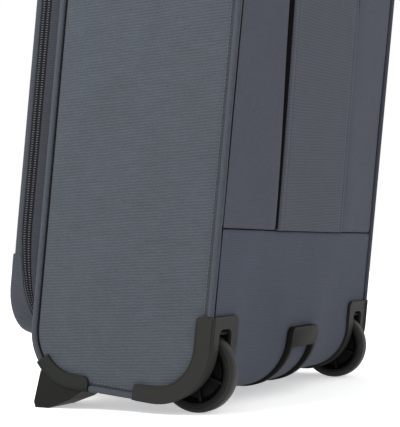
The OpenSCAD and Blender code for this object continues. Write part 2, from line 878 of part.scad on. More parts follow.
module release_button() {
    top = grip_z + grip_h + button_proud;
    color("#6a6b6b") stand() along_z(top - button_h, top) button_outline();
}

// ---- Top carry handle ----

module carry_handle() {
    leg_x = carry_w / 2 - carry_leg_w;
    leg_foot_z = case_top - wall - carry_lift - 1;
    bar_z = case_top + carry_gap;
    color(moulding) stand() {
        along_x(-carry_w / 2, carry_w / 2)
            rounded([carry_y - carry_d / 2, bar_z], [carry_y + carry_d / 2, bar_z + carry_bar_t], 4);
        for (side = [1, -1]) sided(side) {
            box([leg_x, carry_y - carry_leg_d / 2, leg_foot_z],
                [leg_x + carry_leg_w, carry_y + carry_leg_d / 2, bar_z + 1]);
            box([leg_x - 3, carry_y - carry_leg_d / 2 - 3, leg_foot_z - 3],
                [leg_x + carry_leg_w + 3, carry_y + carry_leg_d / 2 + 3, leg_foot_z]);
        }
    }
}

// Plates on the top panel that the carry handle's legs slide through
module carry_handle_plates() {
    x = carry_w / 2 - carry_leg_w / 2;
    color(moulding) stand() for (side = [1, -1]) sided(side)
        along_z(case_top + tiny, case_top + tiny + carry_plate_h) difference() {
            rounded([x - 14, carry_y - 16], [x + 14, carry_y + 16], 6);
            translate([x - carry_leg_w / 2 - 0.4, carry_y - carry_leg_d / 2 - 0.4])
                square([carry_leg_w + 0.8, carry_leg_d + 0.8]);
        }
}

side_panel_right();
side_panel_left();
back_strip_right();
back_strip_left();
back_panel_lower();
bottom_panel();
top_panel();
front_strip();
tube_cover();
piping_right();
piping_left();
zip_half_case();
lid_hinge_strip();
back_board();
back_lining();
frame_hoop_right();
frame_hoop_left();
packing_straps();
strap_buckle();
corner_guard_right();
corner_guard_left();
wheel_well_right();
wheel_well_left();
axle_right();
axle_left();
front_foot_right();
front_foot_left();
bottom_handle();
case_screws();
carry_handle_plates();
handle_bezel();
outer_tube_right();
outer_tube_left();
tube_bracket();
lid_panel();
lid_rim();
zip_half_lid();
pocket_upper();
pocket_lower();
pocket_zips();
zip_slider_right();
zip_slider_left();
zip_pull_right();
zip_pull_left();
pocket_slider_upper();
pocket_slider_lower();
pocket_pull_upper();
pocket_pull_lower();
tyre_right();
tyre_left();
hub_right();
hub_left();
middle_tube_right();
middle_tube_left();
inner_tube_right();
inner_tube_left();
grip();
release_button();
carry_handle();
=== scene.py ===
import bpy
import bmesh
import json
import math
from mathutils import Matrix, Vector


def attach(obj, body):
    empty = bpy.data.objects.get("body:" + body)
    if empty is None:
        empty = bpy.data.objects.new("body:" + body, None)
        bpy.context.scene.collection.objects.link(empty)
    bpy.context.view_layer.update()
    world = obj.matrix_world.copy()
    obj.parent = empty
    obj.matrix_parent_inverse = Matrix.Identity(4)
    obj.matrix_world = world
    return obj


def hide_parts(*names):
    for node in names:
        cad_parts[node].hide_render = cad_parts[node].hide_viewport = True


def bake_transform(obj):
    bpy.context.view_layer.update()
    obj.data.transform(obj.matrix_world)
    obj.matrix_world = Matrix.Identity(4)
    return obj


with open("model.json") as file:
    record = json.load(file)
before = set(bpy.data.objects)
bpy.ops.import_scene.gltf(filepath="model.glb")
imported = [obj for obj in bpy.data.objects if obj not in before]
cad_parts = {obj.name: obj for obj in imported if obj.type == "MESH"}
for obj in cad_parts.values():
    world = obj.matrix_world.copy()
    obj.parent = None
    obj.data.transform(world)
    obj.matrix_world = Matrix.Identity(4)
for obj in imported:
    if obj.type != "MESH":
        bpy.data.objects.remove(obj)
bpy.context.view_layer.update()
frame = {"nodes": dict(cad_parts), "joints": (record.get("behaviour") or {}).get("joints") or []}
scene = bpy.context.scene
mm = 0.001

# ---- The upright frame: the case before it leans back about its wheel axle ----

joints = {j["name"]: j for j in frame["joints"]}
axle = Vector(joints["wheel_spin_right"]["pos_m"])
slide = Vector(joints["stage_slide"]["axis"])
lean = math.atan2(slide.y, slide.z)
about_axle = Matrix.Translation((0, axle.y, axle.z)) @ Matrix.Rotation(-lean, 4, "X")


def node_span(node, to_upright):
    """Lowest and highest corner of a CAD node in the upright frame."""
    points = [to_upright @ v.co for v in frame["nodes"][node].data.vertices]
    low = Vector([min(p[i] for p in points) for i in range(3)])
    high = Vector([max(p[i] for p in points) for i in range(3)])
    return low, high


low, high = node_span("side_panel_right", about_axle.inverted())
shell_middle = (low.y + high.y) / 2
stand_up = about_axle @ Matrix.Translation((0, shell_middle, 0))
to_upright = stand_up.inverted()


def span(node):
    return node_span(node, to_upright)


# Sizes that the other pieces fit to
side_x = span("side_panel_right")[1].x
back_y = span("side_panel_right")[1].y
front_y = -back_y
bottom_z = span("side_panel_right")[0].z
top_z = span("side_panel_right")[1].z
lid_low, lid_high = span("lid_rim")
lid_x = lid_high.x
lid_bottom = lid_low.z
lid_top = lid_high.z
lid_front = span("lid_panel")[0].y
zip_front = span("zip_half_lid")[0].y
zip_back = span("zip_half_case")[1].y
seam_z = span("back_strip_right")[0].z
cover_x = span("tube_cover")[1].x
cover_y = span("tube_cover")[1].y
cover_top = span("tube_cover")[1].z
guard_top = span("corner_guard_right")[1].z
guard_front = span("corner_guard_right")[0].y
guard_out = span("corner_guard_right")[1].x
wheel_low, wheel_high = span("tyre_right")
wheel_r = (wheel_high.z - wheel_low.z) / 2
wheel_mid = (wheel_low + wheel_high) / 2
wheel_half = (wheel_high.x - wheel_low.x) / 2
hub_r = span("hub_right")[1].z - wheel_mid.z
lid_corner = 46 * mm
lid_mid = (lid_top + lid_bottom) / 2
lid_reach = lid_x - lid_corner
lid_half = (lid_top - lid_bottom) / 2 - lid_corner
zip_mid = (zip_front + zip_back) / 2
rear_r, front_r, top_front_r, top_back_r = 47 * mm, 45 * mm, 40 * mm, 20 * mm
piping_x = side_x - 1 * mm
piping_r = 2.8 * mm
wall = 3 * mm
stitch_pitch = 3.2 * mm
zip_pitch = 2.1 * mm
slit_rise = 190 * mm  # height above the seam at which the slits beside the cover are fully open
SIDES = ((1, "right"), (-1, "left"))
UP = (1, 0, 0)  # turning about +X takes the back up and over to the front
ROUND = (0, 1, 0)  # turning about +Y runs round the lid's outline
rear_arc = Vector((0, back_y - rear_r, bottom_z + rear_r))
front_arc = Vector((0, front_y + front_r, bottom_z + front_r))
top_front_arc = Vector((0, front_y + top_front_r, top_z - top_front_r))
top_back_arc = Vector((0, back_y - top_back_r, top_z - top_back_r))

# ---- Ways of working the mesh ----


def leave_edit():
    bpy.ops.object.mode_set(mode="OBJECT")


def select_all():
    bpy.ops.mesh.select_all(action="SELECT")


def clear():
    """Leaves edit mode and deselects everything."""
    if bpy.context.object and bpy.context.object.mode != "OBJECT":
        leave_edit()
    bpy.ops.object.select_all(action="DESELECT")


def only(piece):
    clear()
    piece.select_set(True)
    bpy.context.view_layer.objects.active = piece


def edit(piece):
    only(piece)
    bpy.ops.object.mode_set(mode="EDIT")


def pick(piece, edges=None, faces=None):
    """Selects by place in edit mode; each test is given the element."""
    kind = "EDGE" if edges else "FACE"
    bpy.ops.mesh.select_mode(type=kind)
    bpy.ops.mesh.select_all(action="DESELECT")
    work = bmesh.from_edit_mesh(piece.data)
    test = edges or faces
    for element in work.edges if edges else work.faces:
        if test(element):
            element.select = True
    work.select_flush_mode()
    bmesh.update_edit_mesh(piece.data)


def middle(edge):
    return (edge.verts[0].co + edge.verts[1].co) / 2


def along(edge, axis):
    d = edge.verts[1].co - edge.verts[0].co
    return abs(d[axis]) > 0.99 * d.length


def thread(name, points, closed=False):
    """A line of points, drawn by extruding one vertex, left selected in edit mode."""
    clear()
    bpy.ops.mesh.primitive_plane_add(size=1 * mm, location=points[0])
    piece = bpy.context.object
    piece.name = piece.data.name = name
    bpy.ops.object.transform_apply(location=True, rotation=True, scale=True)
    bpy.ops.object.mode_set(mode="EDIT")
    bpy.ops.mesh.select_mode(type="VERT")
    select_all()
    bpy.ops.mesh.merge(type="CENTER")
    select_all()
    spot = Vector(points[0])
    for point in list(points[1:]) + ([points[0]] if closed else []):
        bpy.ops.mesh.extrude_vertices_move(
            MESH_OT_extrude_verts_indiv={}, TRANSFORM_OT_translate={"value": Vector(point) - spot})
        spot = Vector(point)
    select_all()
    if closed:
        bpy.ops.mesh.remove_doubles(threshold=0.001 * mm)
    return piece


def go(x=0, y=0, z=0):
    return ("go", (x, y, z))


def turn(centre, axis, degrees, steps):
    return ("turn", centre, axis, degrees, steps)


def sweep(legs):
    """Takes the selected section along straight and round legs."""
    bpy.ops.mesh.select_mode(type="EDGE")
    select_all()
    for leg in legs:
        if leg[0] == "go":
            bpy.ops.mesh.extrude_region_move(TRANSFORM_OT_translate={"value": leg[1]})
        else:
            bpy.ops.mesh.spin(steps=leg[4], angle=-math.radians(leg[3]), center=leg[1], axis=leg[2])


def tidy_mesh(fill=False):
    """Merges doubles, closes ends if asked and turns the faces outwards."""
    bpy.ops.mesh.select_mode(type="VERT")
    select_all()
    bpy.ops.mesh.remove_doubles(threshold=0.01 * mm)
    if fill:
        select_all()
        bpy.ops.mesh.fill_holes(sides=0)
    select_all()
    bpy.ops.mesh.normals_make_consistent(inside=False)
    leave_edit()


def swept(name, section, legs, fill=True):
    """A closed section taken along legs, with its ends closed if asked."""
    piece = thread(name, section, closed=True)
    sweep(legs)
    tidy_mesh(fill)
    return piece


def block(name, low, high):
    """A box between two corners, with its place in its mesh, in edit mode."""
    clear()
    low, high = Vector(low), Vector(high)
    bpy.ops.mesh.primitive_cube_add(size=1, location=(low + high) / 2)
    piece = bpy.context.object
    piece.name = piece.data.name = name
    piece.scale = high - low
    bpy.ops.object.transform_apply(location=True, rotation=True, scale=True)
    bpy.ops.object.mode_set(mode="EDIT")
    return piece


def cutter(name, low, high):
    """A plain box, out of edit mode."""
    piece = block(name, low, high)
    leave_edit()
    return piece


def round_edges(piece, test, radius, steps=6):
    pick(piece, edges=test)
    bpy.ops.mesh.bevel(offset=radius, segments=steps, affect="EDGES", clamp_overlap=True)


def round_ends(piece, axis, radius, steps=8):
    round_edges(piece, lambda e: along(e, axis), radius, steps)


def soften(piece, width, steps=3, angle=35):
    """Rounds the sharp edges of a finished shape with an applied bevel."""
    only(piece)
    bevel = piece.modifiers.new("Soften", "BEVEL")
    bevel.width = width
    bevel.segments = steps
    bevel.limit_method = "ANGLE"
    bevel.angle_limit = math.radians(angle)
    bpy.ops.object.modifier_apply(modifier=bevel.name)


def thicken(piece, depth, offset=-1):
    only(piece)
    solid = piece.modifiers.new("Thickness", "SOLIDIFY")
    solid.thickness = depth
    solid.offset = offset
    bpy.ops.object.modifier_apply(modifier=solid.name)


def cut_away(piece, cutter):
    """Takes the cutter's shape out of the piece and removes the cutter."""
    only(piece)
    cut = piece.modifiers.new("Cut", "BOOLEAN")
    cut.operation = "DIFFERENCE"
    cut.solver = "EXACT"
    cut.object = cutter
    bpy.ops.object.modifier_apply(modifier=cut.name)
    bpy.data.objects.remove(cutter)


def repeat(piece, count, step):
    only(piece)
    row = piece.modifiers.new("Row", "ARRAY")
    row.count = count
    row.use_relative_offset = False
    row.use_constant_offset = True
    row.constant_offset_displace = step
    bpy.ops.object.modifier_apply(modifier=row.name)


def join(name, pieces):
    only(pieces[0])
    for other in pieces[1:]:
        other.select_set(True)
    bpy.ops.object.join()
    pieces[0].name = pieces[0].data.name = name
    return pieces[0]


def mirror(piece):
    """Moves a piece to the left, with its faces turned outwards again."""
    piece.data.transform(Matrix.Scale(-1, 4, (1, 0, 0)))
    piece.data.flip_normals()


def other_side(piece, name):
    twin = piece.copy()
    twin.data = piece.data.copy()
    twin.name = twin.data.name = name
    scene.collection.objects.link(twin)
    mirror(twin)
    return twin


def shape(piece, move):
    """Pushes the cloth about point by point; move gives each point's new place."""
    for v in piece.data.vertices:
        v.co = move(v.co.copy())
    piece.data.update()


def lean_back(piece, stuff, smooth=60):
    """Leans a finished piece back with the case and gives it its material."""
    clear()
    piece.data.transform(stand_up)
    piece.data.materials.clear()
    piece.data.materials.append(stuff)
    only(piece)
    bpy.ops.object.shade_smooth_by_angle(angle=math.radians(smooth))
    clear()


def done(piece, body, stuff, stands_for=(), smooth=60):
    """Finishes a piece and puts it on its body."""
    lean_back(piece, stuff, smooth)
    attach(piece, body)
    if stands_for:
        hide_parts(*stands_for)
    return piece


def both_sides(piece, name, body, stuff, stands_for=(), smooth=60):
    """Finishes a right-hand piece and its mirrored twin; names in body and stands_for end in _right."""
    left = other_side(piece, name + "_left")
    piece.name = piece.data.name = name + "_right"
    done(piece, body, stuff, [n + "_right" for n in stands_for], smooth)
    done(left, body.replace("right", "left"), stuff, [n + "_left" for n in stands_for], smooth)
    return piece, left


# ---- Materials ----


class Finish:
    """A material under construction, with short ways to add its nodes."""

    def __init__(self, name, rough, spec=0.5, metal=0.0, sheen=0.0):
        self.stuff = bpy.data.materials.new(name)
        self.stuff.use_nodes = True
        self.tree = self.stuff.node_tree
        self.shader = self.tree.nodes["Principled BSDF"]
        self.shader.inputs["Roughness"].default_value = rough
        self.shader.inputs["Specular IOR Level"].default_value = spec
        self.shader.inputs["Metallic"].default_value = metal
        self.shader.inputs["Sheen Weight"].default_value = sheen
        self.shader.inputs["Sheen Roughness"].default_value = 0.5
        self.where = self.add("ShaderNodeTexCoord").outputs["Object"]

    def add(self, kind, **values):
        node = self.tree.nodes.new(kind)
        for key, value in values.items():
            setattr(node, key, value)
        return node

    def wire(self, a, b):
        self.tree.links.new(a, b)

    def place(self, turn=(0, 0, 0), stretch=(1, 1, 1)):
        node = self.add("ShaderNodeMapping")
        node.inputs["Rotation"].default_value = [math.radians(a) for a in turn]
        node.inputs["Scale"].default_value = stretch
        self.wire(self.where, node.inputs["Vector"])
        return node.outputs["Vector"]

    def noise(self, size, detail=2.0, vector=None):
        node = self.add("ShaderNodeTexNoise")
        node.inputs["Scale"].default_value = 1 / size
        node.inputs["Detail"].default_value = detail
        self.wire(vector or self.where, node.inputs["Vector"])
        return node.outputs["Fac"]

    def ribs(self, pitch, direction="Z", vector=None, wander=0.0, wander_size=0.01):
        node = self.add("ShaderNodeTexWave", wave_type="BANDS", bands_direction=direction)
        node.inputs["Scale"].default_value = math.pi / 10 / pitch
        node.inputs["Distortion"].default_value = wander
        node.inputs["Detail"].default_value = 1.0
        node.inputs["Detail Scale"].default_value = pitch / wander_size
        self.wire(vector or self.where, node.inputs["Vector"])
        return node.outputs["Fac"]

    def sum(self, *terms, base=0.0):
        """base plus each (value, weight), the values first centred on zero."""
        total = None
        for value, weight in terms:
            node = self.add("ShaderNodeMath", operation="MULTIPLY_ADD")
            self.wire(value, node.inputs[0])
            node.inputs[1].default_value = weight
            if total is None:
                node.inputs[2].default_value = base - weight / 2
            else:
                less = self.add("ShaderNodeMath", operation="ADD")
                self.wire(total, less.inputs[0])
                less.inputs[1].default_value = -weight / 2
                self.wire(less.outputs[0], node.inputs[2])
            total = node.outputs[0]
        return total

    def times(self, a, b):
        node = self.add("ShaderNodeMath", operation="MULTIPLY")
        self.wire(a, node.inputs[0])
        self.wire(b, node.inputs[1])
        return node.outputs[0]

    def colours(self, value, dark, light):
        ramp = self.add("ShaderNodeValToRGB")
        ramp.color_ramp.elements[0].color = (*[linear(c) for c in dark], 1)
        ramp.color_ramp.elements[1].color = (*[linear(c) for c in light], 1)
        self.wire(value, ramp.inputs["Fac"])
        self.wire(ramp.outputs["Color"], self.shader.inputs["Base Color"])

    def bump(self, height, depth):
        node = self.add("ShaderNodeBump")
        node.inputs["Distance"].default_value = depth
        node.inputs["Strength"].default_value = 1.0
        self.wire(height, node.inputs["Height"])
        self.wire(node.outputs["Normal"], self.shader.inputs["Normal"])

    def rough(self, value, low, high):
        node = self.add("ShaderNodeMapRange")
        node.inputs["To Min"].default_value = low
        node.inputs["To Max"].default_value = high
        self.wire(value, node.inputs["Value"])
        self.wire(node.outputs["Result"], self.shader.inputs["Roughness"])


def linear(c):
    c = c / 255
    return c / 12.92 if c <= 0.04045 else ((c + 0.055) / 1.055) ** 2.4


def shade_of(colour, gain):
    return [min(255, c * gain) for c in colour]


def woven(name, colour, pitch, tilt, contrast, across_pitch, grain=0.10, depth=0.25, sheen=0.03):
    """Ribbed cloth: ribs every pitch, broken into short dashes by the threads that cross them."""
    f = Finish(name, 0.85, spec=0.12, sheen=sheen)
    lying = f.place(turn=tilt)
    ribs = f.ribs(pitch, "Z", lying, wander=1.8, wander_size=8 * mm)
    cross = f.ribs(across_pitch, "DIAGONAL", lying, wander=2.5, wander_size=4 * mm)
    broken = f.noise(1.0 * mm, 1.0, f.place(turn=tilt, stretch=(0.35, 0.35, 1.1)))
    thread_tone = f.noise(7 * mm, 2.0, f.place(turn=tilt, stretch=(1, 0.35, 1)))
    mottle = f.noise(38 * mm, 3.0)
    weave = f.times(ribs, f.sum((cross, 0.5), (broken, 1.0), base=0.75))
    value = f.sum((weave, contrast), (broken, grain), (thread_tone, grain * 0.9), (mottle, 0.10), base=0.5)
    f.colours(value, shade_of(colour, 0.55), shade_of(colour, 1.45))
    f.bump(f.sum((weave, 0.8), (broken, 0.3), (mottle, 1.2), base=0.5), depth * mm)
    return f.stuff


def moulded(name, colour, rough=0.5, grain=0.12, spec=0.08):
    """Moulded plastic with a fine spark-eroded grain and slightly uneven gloss."""
    f = Finish(name, rough, spec=spec)
    grains = f.noise(0.7 * mm, 2.0)
    cloud = f.noise(22 * mm, 3.0)
    f.colours(f.sum((cloud, 0.35), (grains, 0.25), base=0.5), shade_of(colour, 0.82), shade_of(colour, 1.18))
    f.rough(cloud, rough - 0.07, rough + 0.08)
    f.bump(grains, grain * mm)
    return f.stuff


lean_deg = math.degrees(lean)
side_cloth = woven("side_cloth", (57, 61, 66), 2.5 * mm, (lean_deg - 8.4, 0, 0), 0.21, 1.7 * mm, 0.16)
back_cloth = woven("back_cloth", (55, 58, 66), 2.2 * mm, (lean_deg, 3.0, 0), 0.16, 1.5 * mm, 0.08, 0.12)
cover_cloth = woven("cover_cloth", (57, 60, 67), 2.8 * mm, (lean_deg, -3.0, 0), 0.22, 1.9 * mm, 0.08, 0.15)
lower_cloth = woven("lower_cloth", (53, 57, 66), 2.2 * mm, (lean_deg, 1.5, 0), 0.14, 1.5 * mm, 0.08, 0.12)
# darker than the other cloths; on the recessed gusset strip this tone is partly painted shade
front_cloth = woven("front_cloth", (42, 44, 49), 2.3 * mm, (lean_deg, 0, 0), 0.22, 1.6 * mm, 0.12, 0.15)
rim_cloth = woven("rim_cloth", (51, 54, 59), 2.3 * mm, (lean_deg, 0, 0), 0.15, 1.6 * mm, 0.08, 0.12)
piping_cloth = woven("piping_cloth", (54, 57, 63), 1.6 * mm, (lean_deg + 38, 0, 0), 0.24, 1.3 * mm,
                     0.10, 0.12)
tape_cloth = woven("tape_cloth", (20, 21, 24), 1.2 * mm, (lean_deg, 0, 0), 0.25, 1.2 * mm, 0.1, 0.1)
# near-black cloth that paints shade: in the hollow beside the piping and in the slit beside the cover
painted_shade_cloth = woven("painted_shade_cloth", (8, 8, 9), 1.2 * mm, (lean_deg, 0, 0), 0.2, 1.2 * mm, 0.1, 0.1, 0.0)
lining_cloth = woven("lining_cloth", (74, 77, 83), 0.9 * mm, (lean_deg, 0, 0), 0.2, 0.9 * mm, 0.08, 0.05)
webbing = woven("webbing", (36, 37, 40), 1.4 * mm, (lean_deg, 90, 0), 0.5, 1.0 * mm, 0.15, 0.25)
moulding = moulded("moulding", (37, 37, 36), 0.55)
# the same plastic as the moulding, darkened as painted shade for the grab handle
handle_plastic = moulded("handle_plastic", (22, 22, 21), 0.55)
# the plastic's own dark colour taken near-black as painted shade for the wheel's cavity
well_plastic = moulded("well_plastic", (9, 9, 9), 0.6)
hub_plastic = moulded("hub_plastic", (13, 13, 13), 0.42)
tyre_rubber = moulded("tyre_rubber", (34, 34, 33), 0.45, 0.08, 0.14)
grip_rubber = moulded("grip_rubber", (44, 44, 44), 0.55, 0.15)
button_plastic = moulded("button_plastic", (106, 107, 108), 0.4, 0.06)
board_plastic = moulded("board_plastic", (46, 46, 46), 0.6)
pull_plastic = moulded("pull_plastic", (52, 53, 55), 0.42)


def brushed(name, colour, rough, stretch):
    f = Finish(name, rough, metal=1.0)
    lines = f.noise(0.9 * mm, 2.0, f.place(turn=(lean_deg, 0, 0), stretch=stretch))
    value = f.sum((lines, 0.8), (f.noise(30 * mm), 0.3), base=0.5)
    f.colours(value, shade_of(colour, 0.88), shade_of(colour, 1.1))
    f.rough(lines, rough - 0.06, rough + 0.1)
    f.bump(lines, 0.02 * mm)
    return f.stuff


tube_metal = brushed("tube_metal", (176, 178, 181), 0.32, (1, 1, 0.02))
steel = brushed("steel", (168, 168, 166), 0.34, (1, 1, 1))
slider_metal = brushed("slider_metal", (120, 122, 126), 0.36, (1, 1, 1))


def thread_stuff():
    f = Finish("stitch_thread", 0.7, spec=0.3, sheen=0.2)
    twist = f.ribs(0.5 * mm, "DIAGONAL", wander=0.5)
    f.colours(twist, (62, 66, 72), (86, 90, 96))
    f.bump(twist, 0.05 * mm)
    return f.stuff


def coil_stuff():
    f = Finish("zip_coil", 0.42, spec=0.5)
    f.colours(f.noise(1.2 * mm, 1.0), (40, 43, 46), (68, 71, 75))
    f.bump(f.noise(0.4 * mm), 0.05 * mm)
    return f.stuff


def foot_stuff():
    """Dark plastic, a little lighter on the band that laps the side panel; the block beyond the band is
    darker as painted shade.
    """
    f = Finish("foot_plastic", 0.5, spec=0.08)
    centre = f.add("ShaderNodeVectorMath", operation="SUBTRACT")
    f.wire(f.where, centre.inputs[0])
    centre.inputs[1].default_value = stand_up @ front_arc
    flat = f.add("ShaderNodeVectorMath", operation="MULTIPLY")
    f.wire(centre.outputs["Vector"], flat.inputs[0])
    flat.inputs[1].default_value = (0, 1, 1)
    reach = f.add("ShaderNodeVectorMath", operation="LENGTH")
    f.wire(flat.outputs["Vector"], reach.inputs[0])
    edge = f.add("ShaderNodeMapRange")
    edge.inputs["From Min"].default_value = front_r + 0.6 * mm
    edge.inputs["From Max"].default_value = front_r + 2.4 * mm
    f.wire(reach.outputs["Value"], edge.inputs["Value"])
    grains = f.noise(0.7 * mm, 2.0)
    # the band takes (32, 34, 31) and the block beyond it the darker (23, 24, 22), as painted shade
    f.colours(f.sum((edge.outputs["Result"], 0.9), (grains, 0.2), base=0.5), (32, 34, 31), (23, 24, 22))
    f.bump(grains, 0.12 * mm)
    return f.stuff


stitch_thread = thread_stuff()
foot_plastic = foot_stuff()
zip_coil = coil_stuff()

# ---- Outline walks ----

def ring_points(centre, radius, plane, count=12):
    """A round section; plane is the two axes that it lies in."""
    points = []
    for i in range(count):
        a = 2 * math.pi * i / count
        p = list(centre)
        p[plane[0]] += radius * math.cos(a)
        p[plane[1]] += radius * math.sin(a)
        points.append(p)
    return points


def over_the_top():
    """Up the back, over the top, down the front and round to the foot."""
    return [
        go(z=top_back_arc.z - guard_top),
        turn(top_back_arc, UP, 90, 8),
        go(y=top_front_arc.y - top_back_arc.y),
        turn(top_front_arc, UP, 90, 14),
        go(z=front_arc.z - top_front_arc.z),
        turn(front_arc, UP, 38, 8),
    ]


def round_the_lid():
    """Once round the lid's outline, from halfway up the right side; what is drawn in later goes in steps."""
    steps = 14
    top, foot = lid_mid + lid_half, lid_mid - lid_half

    def corner(x, z):
        return turn((x, lid_front, z), ROUND, -90, steps)

    half_side = [go(z=lid_half / steps)] * steps
    foot_side = [go(x=2 * lid_reach / steps)] * steps
    left_corners = [corner(-lid_reach, top), go(z=-2 * lid_half), corner(-lid_reach, foot)]
    over = [corner(lid_reach, top), go(x=-2 * lid_reach)]
    return half_side + over + left_corners + foot_side + [corner(lid_reach, foot)] + half_side


def draw_in(v):
    """How far the zip is drawn back against the case, from 1 to less than half low on its open side."""
    low_down = min(1, max(0, (110 * mm - v.z) / (80 * mm)))
    open_side = min(1, max(0, v.x / (110 * mm)))
    return 1 - 0.65 * low_down ** 2 * open_side


def drawn_zip(v):
    return Vector((v.x, front_y + (v.y - front_y) * draw_in(v), v.z)) if v.y < front_y else v


def drawn_rim(v):
    """The lid's edge follows the zip, while its front stays where it is."""
    back = max(0, (v.y - lid_front) / (zip_front - lid_front))
    return v + Vector((0, (front_y - zip_front) * (1 - draw_in(v)) * back, 0))


# ---- Side panels, piping and the stitching beside them ----


def side_panel():
    """Foam-backed cloth, sunk a little at its sewn edge and crowned inside it."""
    lip = 0.7 * mm
    piece = block("side_panel", (side_x - wall, front_y + lip, bottom_z + lip),
                  (side_x - 1.9 * mm, back_y - lip, top_z - lip))
    for at_y, at_z, r in ((-1, -1, front_r), (1, -1, rear_r), (-1, 1, top_front_r), (1, 1, top_back_r)):
        round_edges(piece, lambda e: along(e, 0) and middle(e).y * at_y > 0
                    and (middle(e).z - lid_mid) * at_z > 0.1, r - lip, 14)
    pick(piece, faces=lambda f: f.normal.x > 0.9)
    for width, rise in ((2.6, 0.0), (1.4, 1.3), (2.2, 0.6), (3.5, 0.3), (5.0, 0.2)):
        bpy.ops.mesh.inset(thickness=width * mm, depth=rise * mm)
    leave_edit()
    return piece


right, left = both_sides(side_panel(), "side_cloth", "case", side_cloth, ["side_panel"])


def piping():
    upper = swept("piping", ring_points((piping_x, back_y, guard_top + 0.3 * mm), piping_r, (0, 1)),
                  over_the_top())
    lower = swept("piping_lower", ring_points((piping_x, guard_front - 0.3 * mm, bottom_z), piping_r, (0, 2)),
                  [go(y=front_arc.y + 15.5 * mm - guard_front)])
    return join("piping", [upper, lower])


both_sides(piping(), "edge_piping", "case", piping_cloth, ["piping"])


def painted_seam_shades():
    """Near-black tubes beside the piping, painted shade for the sewn-in hollow there: behind it on the back,
    inside it on the front.
    """
    ring = ring_points((side_x - 8.7 * mm, back_y - 0.1 * mm, guard_top), 0.85 * mm, (0, 1), 8)
    behind = swept("painted_seam_shade", ring, over_the_top()[:2])
    ring = ring_points((side_x - 1.2 * mm, top_front_arc.y, top_z - 3.6 * mm), 1.0 * mm, (0, 2), 8)
    over = swept("over", ring, over_the_top()[3:])
    left = other_side(over, "painted_seam_shade_left")
    return join("painted_seam_shade_right", [behind, over]), left


# the left side's seam lies flat along the back, so it gets no painted seam shade there
for piece in painted_seam_shades():
    done(piece, "case", painted_shade_cloth)


def stitch(at, run, length=2.3 * mm, thick=0.55 * mm):
    """One short thread, lying along axis run."""
    half = [thick / 2] * 3
    half[run] = length / 2
    piece = block("stitch", [at[i] - half[i] for i in range(3)], [at[i] + half[i] for i in range(3)])
    select_all()
    bpy.ops.mesh.bevel(offset=thick * 0.3, segments=1, affect="EDGES")
    leave_edit()
    return piece


def stitch_row(start, run, distance):
    """Stitches from start along an axis; distance may be negative."""
    piece = stitch(start, run)
    step = [0, 0, 0]
    step[run] = math.copysign(stitch_pitch, distance)
    repeat(piece, max(1, int(abs(distance) / stitch_pitch)), step)
    return piece


def spin_copies(piece, centre, axis, degrees, steps):
    """Repeats a piece round an arc."""
    edit(piece)
    select_all()
    bpy.ops.mesh.spin(steps=steps, dupli=True, angle=-math.radians(degrees), center=centre, axis=axis)
    leave_edit()


def stitch_arc(at, run, centre, radius):
    """Stitches round one top corner of the side panel."""
    piece = stitch(at, run)
    spin_copies(piece, centre, UP, 90, max(2, int(math.radians(90) * radius / stitch_pitch)))
    return piece


def side_stitching():
    inset = 5.6 * mm
    x = side_x - 0.1 * mm
    rows = [
        stitch_row((x, back_y - inset, guard_top + 3 * mm), 2, top_back_arc.z - guard_top - 3 * mm),
        stitch_arc((x, back_y - inset, top_back_arc.z), 2, top_back_arc, top_back_r),
        stitch_row((x, top_back_arc.y, top_z - inset), 1, top_front_arc.y - top_back_arc.y),
        stitch_arc((x, top_front_arc.y, top_z - inset), 1, top_front_arc, top_front_r),
        stitch_row((x, guard_front - 3 * mm, bottom_z + inset), 1, front_arc.y + 18 * mm - guard_front),
    ]
    return join("side_stitching", rows)


both_sides(side_stitching(), "side_stitching", "case", stitch_thread)

# ---- Cloth bands that wrap round between the side panels ----

band_x = side_x - 2.6 * mm


def across(y, z, outward):
    """A line of points across the case whose ends roll over into the side seams."""
    out = Vector(outward)
    edge = ((0, 2.2 * mm), (0.8 * mm, 0.9 * mm), (2.4 * mm, 0.2 * mm))
    count = 24
    points = [Vector((-band_x + dx, y, z)) - out * sink for dx, sink in edge]
    for i in range(count + 1):
        points.append(Vector((-band_x + 5 * mm + (band_x + band_x - 10 * mm) * i / count, y, z)))
    return points + [Vector((band_x - dx, y, z)) - out * sink for dx, sink in reversed(edge)]


def band(name, section, legs):
    """A section across the case, taken along legs and given the shell's thickness inwards."""
    piece = thread(name, section)
    sweep(legs)
    tidy_mesh()
    # outward is whichever way the middle faces point, away from the case's middle
    middle_face = piece.data.polygons[len(piece.data.polygons) // 2]
    out = middle_face.center - Vector((middle_face.center.x, 0, lid_mid))
    if middle_face.normal.dot(out) < 0:
        piece.data.flip_normals()
    thicken(piece, wall - 0.3 * mm)
    return piece


def ripple(v, size, a=0.05, b=0.033):
    """A soft unevenness, repeatable and gentle."""
    fine = math.sin(v.x / (a * 0.41) - v.z / (b * 1.7))
    return size * (math.sin(v.x / a + v.z / b) + fine * 0.6) / 1.6


def rise(z_from, z_to, count):
    return [go(z=(z_to - z_from) / count)] * count


slot_low, slot_high = span("wheel_well_right")


def well_gap(side):
    low = (slot_low.x - 0.1 * mm, guard_front - 3 * mm, bottom_z - 9 * mm)
    high = (slot_high.x + 0.1 * mm, back_y + 9 * mm, slot_high.z + 4 * mm)
    if side < 0:
        low, high = (-high[0], low[1], low[2]), (-low[0], high[1], high[2])
    return cutter("well_gap", low, high)


def ease(t):
    t = min(1, max(0, t))
    return t * t * (3 - 2 * t)


def bow(v):
    """The lower back swells out below the seam, where the tubes' bracket sits behind it."""
    foot = 58 * mm
    across_case = min(1, abs(v.x) / (side_x - 8 * mm))
    return 4.6 * mm * ease((v.z - foot) / (seam_z - foot)) * (1 - across_case ** 2.6)


